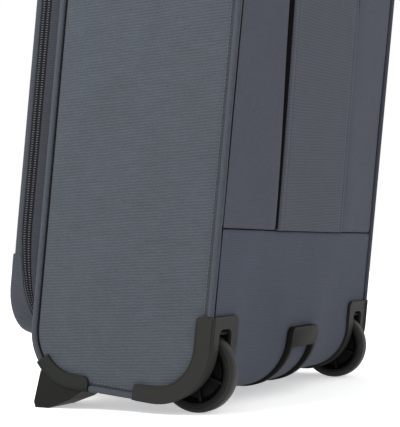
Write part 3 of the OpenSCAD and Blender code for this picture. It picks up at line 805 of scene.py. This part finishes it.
def belly(v):
    """A fullness behind the grab handle that carries on round the lower corner."""
    size = 3.6 * mm * (1 - ease((abs(v.x) - 36 * mm) / (62 * mm)))
    size *= 1 - 0.8 * ease((v.z - 50 * mm) / (60 * mm))
    out = Vector((0, max(0, v.y - rear_arc.y), min(0, v.z - rear_arc.z)))
    if out.length < 1 * mm:
        return Vector((0, 0, 0))
    return out.normalized() * size * ease((v.y - guard_front) / (20 * mm))


def back_lower():
    start = across(back_y - 2.4 * mm, seam_z - 0.4 * mm, (0, 1, 0))
    legs = [go(y=1.5 * mm, z=-0.1 * mm), go(y=0.7 * mm, z=-0.8 * mm), go(y=0.2 * mm, z=-2.0 * mm)]
    legs += rise(seam_z - 3.3 * mm, rear_arc.z, 12)
    legs += [turn(rear_arc, UP, -90, 16), go(y=guard_front + 0.2 * mm - rear_arc.y)]
    piece = band("lower_back_cloth", start, legs)

    def settle(v):
        slack = ripple(v, 0.4 * mm) * ease((seam_z - v.z) / (20 * mm)) if v.z > rear_arc.z else 0
        return v + belly(v) + Vector((0, bow(v) + slack, 0))

    shape(piece, settle)
    for side in (1, -1):
        cut_away(piece, well_gap(side))
    return piece


done(back_lower(), "case", lower_cloth, ["back_panel_lower"])


def underside():
    start = across(guard_front, bottom_z, (0, 0, -1))
    piece = band("underside_cloth", start, [go(y=(front_arc.y - guard_front) / 6)] * 6)
    shape(piece, lambda v: v - Vector((0, 0, 0.8 * mm * math.sin(math.pi * (v.x + side_x) / (2 * side_x)))))
    return piece


done(underside(), "case", lower_cloth, ["bottom_panel"])

bezel_low, bezel_high = span("handle_bezel")


def bezel_gap():
    grow = 0.1 * mm
    return cutter("bezel_gap", (bezel_low.x - grow, bezel_low.y - grow, bezel_low.z - 2 * mm),
                  (bezel_high.x + grow, bezel_high.y + 20 * mm, bezel_high.z + 10 * mm))


def top_cloth():
    start = across(back_y, top_back_arc.z + 0.3 * mm, (0, 1, 0))
    piece = band("top_cloth", start, [turn(top_back_arc, UP, 90, 10)]
                 + [go(y=(top_front_arc.y - top_back_arc.y) / 8)] * 8)
    cut_away(piece, bezel_gap())
    return piece


done(top_cloth(), "case", back_cloth, ["top_panel"])


def lid_plug(low_y, high_y, inset=wall):
    """The lid's outline as a solid, to cut the opening with."""
    piece = block("lid_plug", (-lid_x + inset, low_y, lid_bottom + inset),
                  (lid_x - inset, high_y, lid_top - inset))
    round_ends(piece, 1, lid_corner - inset, 12)
    leave_edit()
    return piece


def front_wall():
    start = across(top_front_arc.y, top_z, (0, 0, 1))
    piece = band("front_wall_cloth", start, [turn(top_front_arc, UP, 90, 12)]
                 + rise(top_front_arc.z, front_arc.z, 10) + [turn(front_arc, UP, 90, 14)])
    cut_away(piece, lid_plug(front_y - 30 * mm, 0, wall - 0.6 * mm))
    return piece


def front_gusset():
    """The strip of cloth that runs forward from the front piping to the zip; its darker front cloth is here
    partly the cloth's own colour and partly painted shade of the recessed strip.
    """
    x = lid_x
    section = [(x, zip_back + 0.2 * mm), (x + 0.3 * mm, zip_back + 3 * mm), (x + 0.5 * mm, zip_back + 9 * mm),
               (x + 0.1 * mm, front_y), (x - 0.4 * mm, front_y + 17 * mm), (x - 2.6 * mm, front_y + 17 * mm),
               (x - 2.4 * mm, front_y), (x - 2.2 * mm, zip_back + 9 * mm),
               (x - 2.4 * mm, zip_back + 0.2 * mm)]
    piece = swept("front_gusset_cloth", [(a, b, lid_mid) for a, b in section], round_the_lid(), fill=False)
    shape(piece, drawn_zip)
    return piece


done(front_wall(), "case", front_cloth, ["front_strip"])
done(front_gusset(), "case", front_cloth)

# ---- Back strips and the raised cover over the tubes ----


def gape(z):
    """How far the strip beside the cover stands off it: closed at the seam, open further up."""
    t = min(1, max(0, (z - seam_z) / slit_rise))
    return (0.3 + 1.5 * t) * mm


def skew(z):
    """Sideways drift of the cover's edges with height."""
    t = min(1.3, max(0, (z - seam_z) / slit_rise))
    return (4.4 * t + 3.3 * t * t) * mm


def left_skew(z):
    """The left slit's drift, held short of the tube under the cover."""
    return min(skew(z), 6.5 * mm)


def face_back(piece):
    """Turns an open sheet's faces to the back, judged by all of them together."""
    if sum(face.normal.y * face.area for face in piece.data.polygons) < 0:
        piece.data.flip_normals()


def back_strip(side):
    """Padded strip from the side seam to the slit beside the cover, its inner edge rolled under."""
    y = back_y
    edge = cover_x
    section = []
    for dx, dy in ((-3.5, -9.0), (-1.0, -7.6), (0.3, -5.0), (1.0, -2.6), (2.4, -1.0), (5.0, -0.1), (10, 0.4),
                   (22, 0.8), (40, 0.9), (60, 0.8), (80, 0.6), (94, 0.4), (101, 0.2), (104.6, 0.0),
                   (107.2, -0.6), (108.8, -1.5), (109.6, -3.0)):
        section.append((edge + dx * mm, y + dy * mm, seam_z + 0.5 * mm))
    steps = 16
    piece = thread("back_strip", section)
    sweep([go(z=1.0 * mm), go(z=3.0 * mm)] + rise(seam_z + 4.5 * mm, top_back_arc.z, steps)
          + [go(y=-1.4 * mm, z=1.8 * mm)])
    tidy_mesh()
    face_back(piece)

    def settle(v):
        near = min(1, max(0, (side_x - v.x) / (side_x - cover_x)))
        slide_x = (gape(v.z) + (skew(v.z) if side > 0 else -left_skew(v.z))) * near ** 2
        low_tuck = -1.8 * mm * max(0, 1 - (v.z - seam_z - 0.5 * mm) / (2.0 * mm)) ** 2
        lift = (5.6 - 1.8 * ease((v.z - seam_z) / slit_rise)) * mm * near ** 1.6
        lift *= 1 - ease((v.z - top_back_arc.z + 50 * mm) / (48 * mm))
        return v + Vector((slide_x, ripple(v, 0.3 * mm) + low_tuck + lift, 0))

    shape(piece, settle)
    thicken(piece, 2.4 * mm)
    cut_away(piece, bezel_gap())
    if side < 0:
        mirror(piece)
    return piece


for side, word in SIDES:
    piece = back_strip(side)
    piece.name = piece.data.name = "back_strip_cloth_" + word
    done(piece, "case", back_cloth, ["back_strip_" + word])


def raised_cover():
    """One piece of cloth raised over the tubes, with a folded hem down each edge."""
    w = cover_x
    half = [(0.0, 0.0), (18, 0.1), (36, 0.0), (50, -0.1), (62, -0.1), (70, 0.0), (73.6, 0.0), (74.2, -0.35),
            (74.8, 0.05), (78, 0.35), (80.6, 0.2), (81.9, -0.5), (82.5, -1.6), (82.45, -4.5), (81.9, -9.0),
            (80.2, -14.0)]
    line = [(-a * mm * w / (82.5 * mm), cover_y + b * mm - 0.4 * mm) for a, b in reversed(half[1:])]
    line += [(a * mm * w / (82.5 * mm), cover_y + b * mm - 0.4 * mm) for a, b in half]
    piece = thread("raised_cover_cloth", [(a, b, seam_z + 0.2 * mm) for a, b in line])
    sweep([go(z=0.8 * mm), go(z=2.2 * mm)] + rise(seam_z + 3.2 * mm, cover_top, 18))
    tidy_mesh()
    face_back(piece)

    def settle(v):
        deep_in = max(0, 1 - (v.z - seam_z - 0.2 * mm) / (1.6 * mm)) ** 2
        y = v.y - deep_in * 1.0 * mm + 0.5 * mm + ripple(v, 0.2 * mm)
        return Vector((v.x + skew(v.z), y, v.z))

    shape(piece, settle)
    thicken(piece, 1.2 * mm)
    return piece


cover = done(raised_cover(), "case", cover_cloth, ["tube_cover"])


def slit_shade_wall(side):
    """The turned-in wall of the slit between the cover and the strip beside it, near-black as painted shade
    for the deep crevice.
    """
    x, y = cover_x + 0.25 * mm, cover_y
    section = [(x - 6 * mm, y - 4.6 * mm), (x - 0.1 * mm, y - 4.6 * mm), (x, y - 1.2 * mm),
               (x + 0.5 * mm, y - 1.7 * mm), (x + 0.5 * mm, y - 14 * mm), (x + 13 * mm, y - 14 * mm),
               (x + 13 * mm, y - 6.5 * mm),
               (x + 14 * mm, y - 6.5 * mm), (x + 14 * mm, y - 15 * mm), (x - 0.3 * mm, y - 15 * mm),
               (x - 0.3 * mm, y - 5.2 * mm), (x - 6 * mm, y - 5.2 * mm)]
    piece = swept("slit_shade_wall", [(a, b, seam_z + 1.5 * mm) for a, b in section],
                  rise(seam_z + 1.5 * mm, cover_top, 18))
    if side < 0:
        mirror(piece)
    shape(piece, lambda v: v + Vector((skew(v.z) if side > 0 else left_skew(v.z), 0, 0)))
    return piece


for side, word in SIDES:
    piece = slit_shade_wall(side)
    piece.name = piece.data.name = "slit_shade_wall_" + word
    done(piece, "case", painted_shade_cloth)

# ---- Lid ----


def lid_rim():
    """The lid's edge, rolled over at the front and turned in behind the front cloth."""
    x = lid_x
    y = zip_front
    section = [(x - 0.4 * mm, y - 0.3 * mm), (x + 0.1 * mm, y - 1.0 * mm), (x + 0.3 * mm, y - 3.2 * mm),
               (x - 0.3 * mm, y - 5.4 * mm), (x - 1.9 * mm, y - 6.9 * mm),
               (x - 4.2 * mm, lid_front + 0.1 * mm),
               (x - 9.0 * mm, lid_front), (x - 9.0 * mm, lid_front + 2.2 * mm),
               (x - 4.4 * mm, lid_front + 2.4 * mm),
               (x - 2.6 * mm, y - 4.2 * mm), (x - 2.4 * mm, y - 0.3 * mm)]
    piece = swept("lid_rim_cloth", [(a, b, lid_mid) for a, b in section], round_the_lid(), fill=False)
    shape(piece, drawn_rim)
    return piece


done(lid_rim(), "lid", rim_cloth, ["lid_rim"])


def swell(piece, voxel, pressure, reach):
    """Inflates a closed pad with cloth, lets no point move further than reach, and smooths it once."""
    only(piece)
    remesh = piece.modifiers.new("Even", "REMESH")
    remesh.mode = "VOXEL"
    remesh.voxel_size = voxel
    bpy.ops.object.modifier_apply(modifier=remesh.name)
    start = [v.co.copy() for v in piece.data.vertices]
    frames = 20
    cloth = piece.modifiers.new("Cloth", "CLOTH")
    cloth.settings.use_pressure = True
    cloth.settings.uniform_pressure_force = pressure
    cloth.settings.quality = 6
    cloth.settings.mass = 0.3
    cloth.settings.tension_stiffness = 25
    cloth.settings.compression_stiffness = 12
    cloth.settings.bending_stiffness = 1.2
    cloth.settings.effector_weights.gravity = 0
    cloth.point_cache.frame_start, cloth.point_cache.frame_end = 1, frames
    for step in range(1, frames + 1):
        scene.frame_set(step)
    only(piece)
    bpy.ops.object.modifier_apply(modifier=cloth.name)
    scene.frame_set(1)
    for v, was in zip(piece.data.vertices, start):
        move = v.co - was
        if move.length > reach:
            v.co = was + move * (reach / move.length)
    sub = piece.modifiers.new("Smooth", "SUBSURF")
    sub.levels = sub.render_levels = 1
    bpy.ops.object.modifier_apply(modifier=sub.name)
    return piece


def pad(name, low, high, corner, edge, voxel, pressure, reach):
    """A pad with rounded corners in front view and soft front edges, then inflated."""
    piece = block(name, low, high)
    round_ends(piece, 1, corner, 8)
    round_edges(piece, lambda e: middle(e).y < low[1] + 0.01 * mm and not along(e, 1), edge, 3)
    leave_edit()
    return swell(piece, voxel, pressure, reach)


front_pad = pad("lid_front_cloth", (-lid_x + 7 * mm, lid_front - 0.2 * mm, lid_bottom + 7 * mm),
                (lid_x - 7 * mm, lid_front + 6.5 * mm, lid_top - 7 * mm), lid_corner - 7 * mm, 2.4 * mm,
                5 * mm, 1.6, 1.2 * mm)
done(front_pad, "lid", front_cloth, ["lid_panel"])

zip_band = 24 * mm
pocket_front = span("pocket_lower")[0].y
for word in ("lower", "upper"):
    p_low, p_high = span("pocket_" + word)
    bag = pad("pocket_bag_" + word, (p_low.x, pocket_front + 0.9 * mm, p_low.z),
              (p_high.x, lid_front + 7 * mm, p_high.z - zip_band), 12 * mm, 3.0 * mm, 4.5 * mm, 3.2, 3.2 * mm)
    done(bag, "lid", side_cloth, ["pocket_" + word])
    flap = block("flap", (p_low.x, pocket_front + 0.2 * mm, p_high.z - zip_band - 3 * mm),
                 (p_high.x, lid_front + 1 * mm, p_high.z))
    round_edges(flap, lambda e: along(e, 1) and middle(e).z > p_high.z - 5 * mm, 12 * mm, 8)
    round_edges(flap, lambda e: middle(e).y < pocket_front + 0.3 * mm and not along(e, 1), 1.0 * mm, 2)
    leave_edit()
    done(flap, "lid", front_cloth)
    flap.name = flap.data.name = "pocket_flap_" + word
    lines = []
    for dz in (3.0 * mm, zip_band - 2.0 * mm):
        lines.append(stitch_row((p_low.x + 14 * mm, pocket_front + 0.1 * mm, p_high.z - dz), 0,
                                p_high.x - p_low.x - 28 * mm))
    done(join("pocket_stitching_" + word, lines), "lid", stitch_thread)
    z_low, z_high = span("pocket_zips")
    mid_z = p_high.z - 12.5 * mm
    teeth = stitch((z_low.x + 3 * mm, z_low.y - 0.15 * mm, mid_z), 2, 4.6 * mm, 1.1 * mm)
    repeat(teeth, int((z_high.x - z_low.x - 6 * mm) / zip_pitch), (zip_pitch, 0, 0))
    teeth.name = teeth.data.name = "pocket_zip_coil_" + word
    done(teeth, "lid", zip_coil)


def kick_band():
    """Tougher cloth across the foot of the lid, lapped round its edge."""
    top = 81 * mm
    piece = block("lid_foot_cloth", (-lid_x - 0.6 * mm, lid_front - 1.0 * mm, lid_bottom - 0.6 * mm),
                  (lid_x + 0.6 * mm, zip_front - 1.0 * mm, top))
    round_edges(piece, lambda e: along(e, 1) and middle(e).z < top / 2, lid_corner, 14)
    round_edges(piece, lambda e: middle(e).y < lid_front and not along(e, 1), 3.4 * mm, 4)
    leave_edit()
    cut_away(piece, lid_plug(lid_front + 0.6 * mm, zip_front + 5 * mm, 2.0 * mm))
    shape(piece, drawn_rim)
    return piece


done(kick_band(), "lid", rim_cloth, smooth=50)

# ---- Zip ----


def tape_section(y0, y1):
    x = lid_x - 0.9 * mm
    return [(x, y0, lid_mid), (x + 0.2 * mm, y0 + 0.3 * mm, lid_mid), (x + 0.2 * mm, y1 - 0.3 * mm, lid_mid),
            (x, y1, lid_mid), (x - 1.3 * mm, y1, lid_mid), (x - 1.3 * mm, y0, lid_mid)]


hinge_stop = lid_corner + 6 * mm


def hinge_block():
    return cutter("hinge_block", (-side_x, zip_front - 5 * mm, lid_bottom + hinge_stop),
                  (-lid_x + 9 * mm, zip_back + 5 * mm, lid_top - hinge_stop))


for body, y0, y1 in (("case", zip_mid + 0.1 * mm, zip_back + 0.4 * mm),
                     ("lid", zip_front - 0.4 * mm, zip_mid - 0.1 * mm)):
    tape = swept("zip_tape_" + body, tape_section(y0, y1), round_the_lid(), fill=False)
    cut_away(tape, hinge_block())
    shape(tape, drawn_zip)
    done(tape, body, tape_cloth, ["zip_half_" + body])


def coil(name, y):
    """A row of zip teeth once round the lid, left out along the hinge."""
    x = lid_x - 0.3 * mm
    corner_r = lid_corner - 0.3 * mm
    top, foot = lid_mid + lid_half, lid_mid - lid_half
    rows = []

    def tooth(at):
        rows.append(stitch(at, 1, 2.5 * mm, 0.9 * mm))
        return rows[-1]

    def straight(at, axis, distance):
        step = [0, 0, 0]
        step[axis] = math.copysign(zip_pitch, distance)
        repeat(tooth(at), int(abs(distance) / zip_pitch), step)

    def bend(at, centre):
        spin_copies(tooth(at), centre, ROUND, -90, int(math.radians(90) * corner_r / zip_pitch))

    straight((x, y, foot), 2, 2 * lid_half)
    bend((x, y, top), (lid_reach, y, top))
    straight((lid_reach, y, lid_top - 0.3 * mm), 0, -2 * lid_reach)
    bend((-lid_reach, y, lid_top - 0.3 * mm), (-lid_reach, y, top))
    bend((-x, y, foot), (-lid_reach, y, foot))
    straight((-lid_reach, y, lid_bottom + 0.3 * mm), 0, 2 * lid_reach)
    bend((lid_reach, y, lid_bottom + 0.3 * mm), (lid_reach, y, foot))
    piece = join(name, rows)
    shape(piece, drawn_zip)
    return piece


done(coil("zip_coil_case", zip_mid + 2.1 * mm), "case", zip_coil)
done(coil("zip_coil_lid", zip_mid - 2.6 * mm), "lid", zip_coil)


def hinge_cloth():
    x = -lid_x + 0.3 * mm
    section = [(x + 1.6 * mm, zip_back + 1 * mm), (x + 0.4 * mm, zip_back - 2 * mm), (x, zip_mid),
               (x + 0.4 * mm, zip_front + 2 * mm), (x + 1.6 * mm, zip_front - 1 * mm)]
    z = lid_bottom + hinge_stop + 1 * mm
    piece = thread("lid_hinge_cloth", [(a, b, z) for a, b in section])
    sweep(rise(z, lid_top - hinge_stop - 1 * mm, 10))
    tidy_mesh()
    if piece.data.polygons[0].normal.x > 0:
        piece.data.flip_normals()
    thicken(piece, 1.1 * mm)
    lean_back(piece, front_cloth)
    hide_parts("lid_hinge_strip")
    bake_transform(piece)


hinge_cloth()

# ---- Hard pieces: most keep their exact shapes, the grab handle is drawn again with softer edges ----


def dress(node, stuff, edge=0.0, steps=2, angle=30):
    """A CAD piece takes its finish, and its sharp edges a small live bevel."""
    piece = frame["nodes"][node]
    piece.data.materials.clear()
    piece.data.materials.append(stuff)
    if edge:
        weld = piece.modifiers.new("Weld", "WELD")
        weld.merge_threshold = 0.01 * mm
        bevel = piece.modifiers.new("Edge", "BEVEL")
        bevel.width = edge
        bevel.segments = steps
        bevel.limit_method = "ANGLE"
        bevel.angle_limit = math.radians(angle)


for word in ("right", "left"):
    dress("corner_guard_" + word, moulding, 0.7 * mm, 2, 50)
    dress("wheel_well_" + word, well_plastic)
    dress("front_foot_" + word, foot_plastic, 1.1 * mm, 3, 50)
    dress("axle_" + word, steel, 0.3 * mm)
    dress("outer_tube_" + word, tube_metal)
    dress("middle_tube_" + word, tube_metal)
    dress("inner_tube_" + word, tube_metal)
    dress("frame_hoop_" + word, board_plastic)
    dress("zip_slider_" + word, slider_metal, 0.3 * mm)
    dress("zip_pull_" + word, pull_plastic, 0.3 * mm)
for word in ("upper", "lower"):
    dress("pocket_slider_" + word, slider_metal, 0.3 * mm)
    dress("pocket_pull_" + word, pull_plastic, 0.3 * mm)
dress("pocket_zips", tape_cloth)
dress("case_screws", steel)
dress("handle_bezel", moulding, 0.8 * mm, 2, 50)
dress("tube_bracket", board_plastic, 0.6 * mm)
dress("back_board", board_plastic, 0.3 * mm)
dress("strap_buckle", grip_rubber, 0.8 * mm)
dress("release_button", button_plastic, 0.8 * mm, 3, 50)
dress("grip", grip_rubber, 0.5 * mm, 2, 50)
dress("carry_handle_plates", moulding, 0.8 * mm, 2, 50)


def grab_handle():
    """A plate with two thin legs that sweep down round the corner and under the case."""
    low, high = span("bottom_handle")
    thick = 6.2 * mm
    centre = Vector((0, rear_arc.y + 3.5 * mm, rear_arc.z + 2.5 * mm))
    section = [(low.x, high.y, high.z), (high.x, high.y, high.z), (high.x, high.y - thick, high.z),
               (low.x, high.y - thick, high.z)]
    piece = swept("grab_handle", section,
                  [go(z=centre.z - high.z), turn(centre, UP, -90, 24), go(y=low.y - centre.y)])
    edit(piece)
    round_edges(piece, lambda e: along(e, 1) and middle(e).z > high.z - 0.1 * mm, 7 * mm, 6)
    window = block("window", (-25 * mm, low.y + 8 * mm, low.z - 9 * mm),
                   (25 * mm, high.y + 9 * mm, high.z - 19 * mm))
    round_ends(window, 1, 3 * mm, 5)
    leave_edit()
    cut_away(piece, window)
    soften(piece, 0.9 * mm, 2, 50)
    return piece


done(grab_handle(), "case", handle_plastic, ["bottom_handle"], 50)


def bead(name, x, radius, lift, start_z=guard_top):
    """A rounded ridge that follows the guard round the lower corner."""
    z = start_z - 0.8 * mm
    return swept(name, ring_points((x, rear_arc.y + (rear_r + lift), z), radius, (0, 1), 10),
                 [go(z=rear_arc.z - z), turn((0, rear_arc.y, rear_arc.z), UP, -90, 16),
                  go(y=guard_front + 1.2 * mm - rear_arc.y)])


guard_skin = 2.8 * mm
beads = [bead("guard_bead_a", side_x - 1.2 * mm, 1.5 * mm, guard_skin - 0.4 * mm),
         bead("guard_bead_b", side_x - 5.2 * mm, 1.2 * mm, guard_skin - 0.5 * mm),
         bead("guard_bead_c", guard_out - 0.2 * mm, 0.7 * mm, -10.3 * mm, start_z=guard_top - 5 * mm)]
both_sides(join("guard_beads", beads), "guard_beads", "case", moulding)


def foot_ridges():
    """Two low ridges round the corner: along the band's inner edge and where the foot's block begins."""
    rows = []
    for radius, lift in ((0.75 * mm, -9.4 * mm), (1.2 * mm, 1.6 * mm)):
        r = front_r + lift
        a = math.radians(221)
        start = (guard_out - 0.5 * mm, front_arc.y + r * math.cos(a), front_arc.z + r * math.sin(a))
        rows.append(swept("ridge", ring_points(start, radius, (0, 1), 8),
                          [turn((0, front_arc.y, front_arc.z), UP, 49, 12), go(y=10 * mm)]))
    return join("foot_ridges", rows)


both_sides(foot_ridges(), "foot_ridges", "case", foot_plastic)

# ---- Wheels ----


def spun(name, profile):
    """A profile, from the wheel's middle, turned once about its axle."""
    c = wheel_mid
    piece = thread(name, [(c.x + a, c.y, c.z + b) for a, b in profile], closed=True)
    bpy.ops.mesh.select_mode(type="EDGE")
    select_all()
    bpy.ops.mesh.spin(steps=96, angle=math.radians(360), center=c, axis=(1, 0, 0))
    tidy_mesh()
    return piece


def tyre():
    """A rubber tyre with a softly crowned tread and a raised lip beside the hub."""
    hw = wheel_half
    r = wheel_r
    inner = hub_r
    profile = [(-hw + 0.4 * mm, inner), (-hw, inner + 0.6 * mm), (-hw, r - 3.4 * mm),
               (-hw + 0.5 * mm, r - 1.7 * mm),
               (-hw + 1.8 * mm, r - 0.6 * mm), (-hw + 3.6 * mm, r - 0.1 * mm), (0, r),
               (hw - 3.6 * mm, r - 0.1 * mm),
               (hw - 1.8 * mm, r - 0.6 * mm), (hw - 0.5 * mm, r - 1.7 * mm), (hw, r - 3.4 * mm),
               (hw - 0.1 * mm, inner + 2.6 * mm), (hw - 0.7 * mm, inner + 2.1 * mm),
               (hw - 0.7 * mm, inner + 1.5 * mm),
               (hw, inner + 1.0 * mm), (hw - 0.4 * mm, inner)]
    return spun("tyre", profile)


def hub():
    """A dished hub: rim ring, boss, thin web and six spokes on each face."""
    c = wheel_mid
    hw = wheel_half
    outer = hub_r - 0.05 * mm
    bore = 3.3 * mm
    face = [(hw - 0.6 * mm, outer), (hw - 0.5 * mm, outer - 1.5 * mm), (hw - 2.2 * mm, outer - 2.6 * mm),
            (1.6 * mm, outer - 6 * mm), (1.5 * mm, 11 * mm), (hw - 1.6 * mm, 8.4 * mm),
            (hw - 0.4 * mm, 7.6 * mm),
            (hw - 0.4 * mm, bore)]
    piece = spun("hub", face + [(-a, b) for a, b in reversed(face)])
    spokes = []
    for i in range(6):
        spoke = block("spoke", (c.x - hw + 2.4 * mm, c.y - 1.3 * mm, c.z + 7 * mm),
                      (c.x + hw - 2.4 * mm, c.y + 1.3 * mm, c.z + outer - 2.5 * mm))
        round_edges(spoke, lambda e: along(e, 2), 0.6 * mm, 2)
        leave_edit()
        spoke.data.transform(Matrix.Translation(c) @ Matrix.Rotation(math.radians(60 * i + 15), 4, "X")
                             @ Matrix.Translation(-c))
        spokes.append(spoke)
    return join("hub", [piece] + spokes)


both_sides(tyre(), "rubber_tyre", "right_wheel", tyre_rubber, ["tyre"], 40)
both_sides(hub(), "wheel_hub", "right_wheel", hub_plastic, ["hub"], 40)

# ---- Carry handle on the top ----

carry_low, carry_high = span("carry_handle")
plate_low, plate_high = span("carry_handle_plates")


def carry_handle_pad():
    """A padded grab handle whose two legs slide down through the plates."""
    y = (carry_low.y + carry_high.y) / 2
    leg_x = carry_high.x - 4.5 * mm
    bar_z = carry_high.z - 4.5 * mm
    foot_z = carry_low.z + 1 * mm
    wide, thick, r = 7.6 * mm, 3.6 * mm, 7 * mm
    section = []
    for i in range(16):
        a = 2 * math.pi * i / 16
        c, s = math.cos(a), math.sin(a)
        section.append((leg_x + thick * math.copysign(abs(c) ** 0.6, c),
                        y + wide * math.copysign(abs(s) ** 0.6, s), foot_z))
    legs = [go(z=bar_z - r - foot_z), turn((leg_x - r, y, bar_z - r), ROUND, -90, 8)]
    legs += [go(x=-2 * (leg_x - r) / 16)] * 16
    legs += [turn((-leg_x + r, y, bar_z - r), ROUND, -90, 8), go(z=foot_z - bar_z + r)]
    piece = swept("carry_handle_pad", section, legs)

    def fuller(v):
        t = max(0, 1 - (abs(v.x) / (leg_x - 6 * mm)) ** 4)
        if v.z < bar_z - 6 * mm:
            return v
        return Vector((v.x, y + (v.y - y) * (1 + 0.62 * t), bar_z + (v.z - bar_z) * (1 + 0.2 * t)))

    shape(piece, fuller)
    return piece


handle_pad = done(carry_handle_pad(), "carry", grip_rubber, ["carry_handle"])
y_mid = (carry_low.y + carry_high.y) / 2
handle_rows = [stitch_row((-50 * mm, y_mid + dy, carry_high.z - 0.1 * mm), 0, 100 * mm)
               for dy in (-9 * mm, 9 * mm)]
done(join("carry_stitching", handle_rows), "carry", stitch_thread)

# ---- Inside ----

lining_low, lining_high = span("back_lining")


def lining():
    clear()
    w, h = lining_high.x - lining_low.x, lining_high.z - lining_low.z
    bpy.ops.mesh.primitive_grid_add(x_subdivisions=48, y_subdivisions=64, size=1)
    piece = bpy.context.object
    piece.name = piece.data.name = "lining_cloth"
    piece.data.transform(Matrix.Translation(((lining_low.x + lining_high.x) / 2, lining_low.y + 0.3 * mm,
                                             (lining_low.z + lining_high.z) / 2))
                         @ Matrix.Rotation(math.radians(90), 4, "X") @ Matrix.Diagonal((w, h, 1, 1)))
    shape(piece, lambda v: v + Vector((0, ripple(v, 0.25 * mm, 0.06, 0.08), 0)))
    thicken(piece, 0.8 * mm, 0)
    return piece, w, h


cloth, w, h = lining()
done(cloth, "case", lining_cloth, ["back_lining"])

strap_low, strap_high = span("packing_straps")
for side, word in SIDES:
    x0, x1 = 20 * mm, strap_high.x
    strap = block("packing_strap_" + word, (min(side * x0, side * x1), strap_low.y, strap_low.z),
                  (max(side * x0, side * x1), strap_high.y - 0.2 * mm, strap_high.z))
    bpy.ops.mesh.subdivide(number_cuts=1)
    leave_edit()
    soften(strap, 0.4 * mm, 2, 60)
    done(strap, "case", webbing, ["packing_straps"] if side > 0 else [])

# ---- Seams that show across the back ----

seam_rows = [stitch_row((-side_x + 12 * mm, back_y + 0.3 * mm, seam_z - 5.5 * mm), 0, 2 * side_x - 24 * mm)]
done(join("back_seam_stitching", seam_rows), "case", stitch_thread)

# ---- Floor, light and camera ----

clear()
bpy.ops.mesh.primitive_plane_add(size=12, location=(0, 0, 0))
floor = bpy.context.object
floor.name = "floor"
pale = Finish("pale_floor", 0.9, spec=0.1)
pale.shader.inputs["Base Color"].default_value = (0.92, 0.92, 0.92, 1)
pale.shader.inputs["Emission Color"].default_value = (1, 1, 1, 1)
pale.shader.inputs["Emission Strength"].default_value = 0.45
floor.data.materials.append(pale.stuff)

world = bpy.data.worlds.new("studio")
scene.world = world
world.use_nodes = True
world.node_tree.nodes["Background"].inputs["Color"].default_value = (1, 1, 1, 1)
world.node_tree.nodes["Background"].inputs["Strength"].default_value = 1.0
scene.view_settings.view_transform = "Standard"


def softbox(name, place, aim, size, power):
    lamp = bpy.data.lights.new(name, "AREA")
    lamp.shape = "RECTANGLE"
    lamp.size, lamp.size_y = size
    lamp.energy = power
    light = bpy.data.objects.new(name, lamp)
    scene.collection.objects.link(light)
    light.location = place
    light.rotation_euler = (Vector(aim) - Vector(place)).to_track_quat("-Z", "Y").to_euler()


softbox("key", (0.95, -0.35, 1.15), (0.2, 0, 0.5), (0.6, 0.6), 15)
softbox("fill", (0.6, 2.4, 1.2), (0, 0, 0.25), (1.8, 1.6), 2)

lens = bpy.data.cameras.new("camera")
lens.lens = 107.65
lens.sensor_width = 36
lens.clip_start = 0.05
camera = bpy.data.objects.new("camera", lens)
scene.collection.objects.link(camera)
scene.camera = camera
camera.location = (1.13187, 0.52164, 0.13855)
heading, pitch = math.radians(25.96), math.radians(1.51)
look = Vector((-math.cos(heading) * math.cos(pitch), -math.sin(heading) * math.cos(pitch), math.sin(pitch)))
camera.rotation_euler = look.to_track_quat("-Z", "Y").to_euler()
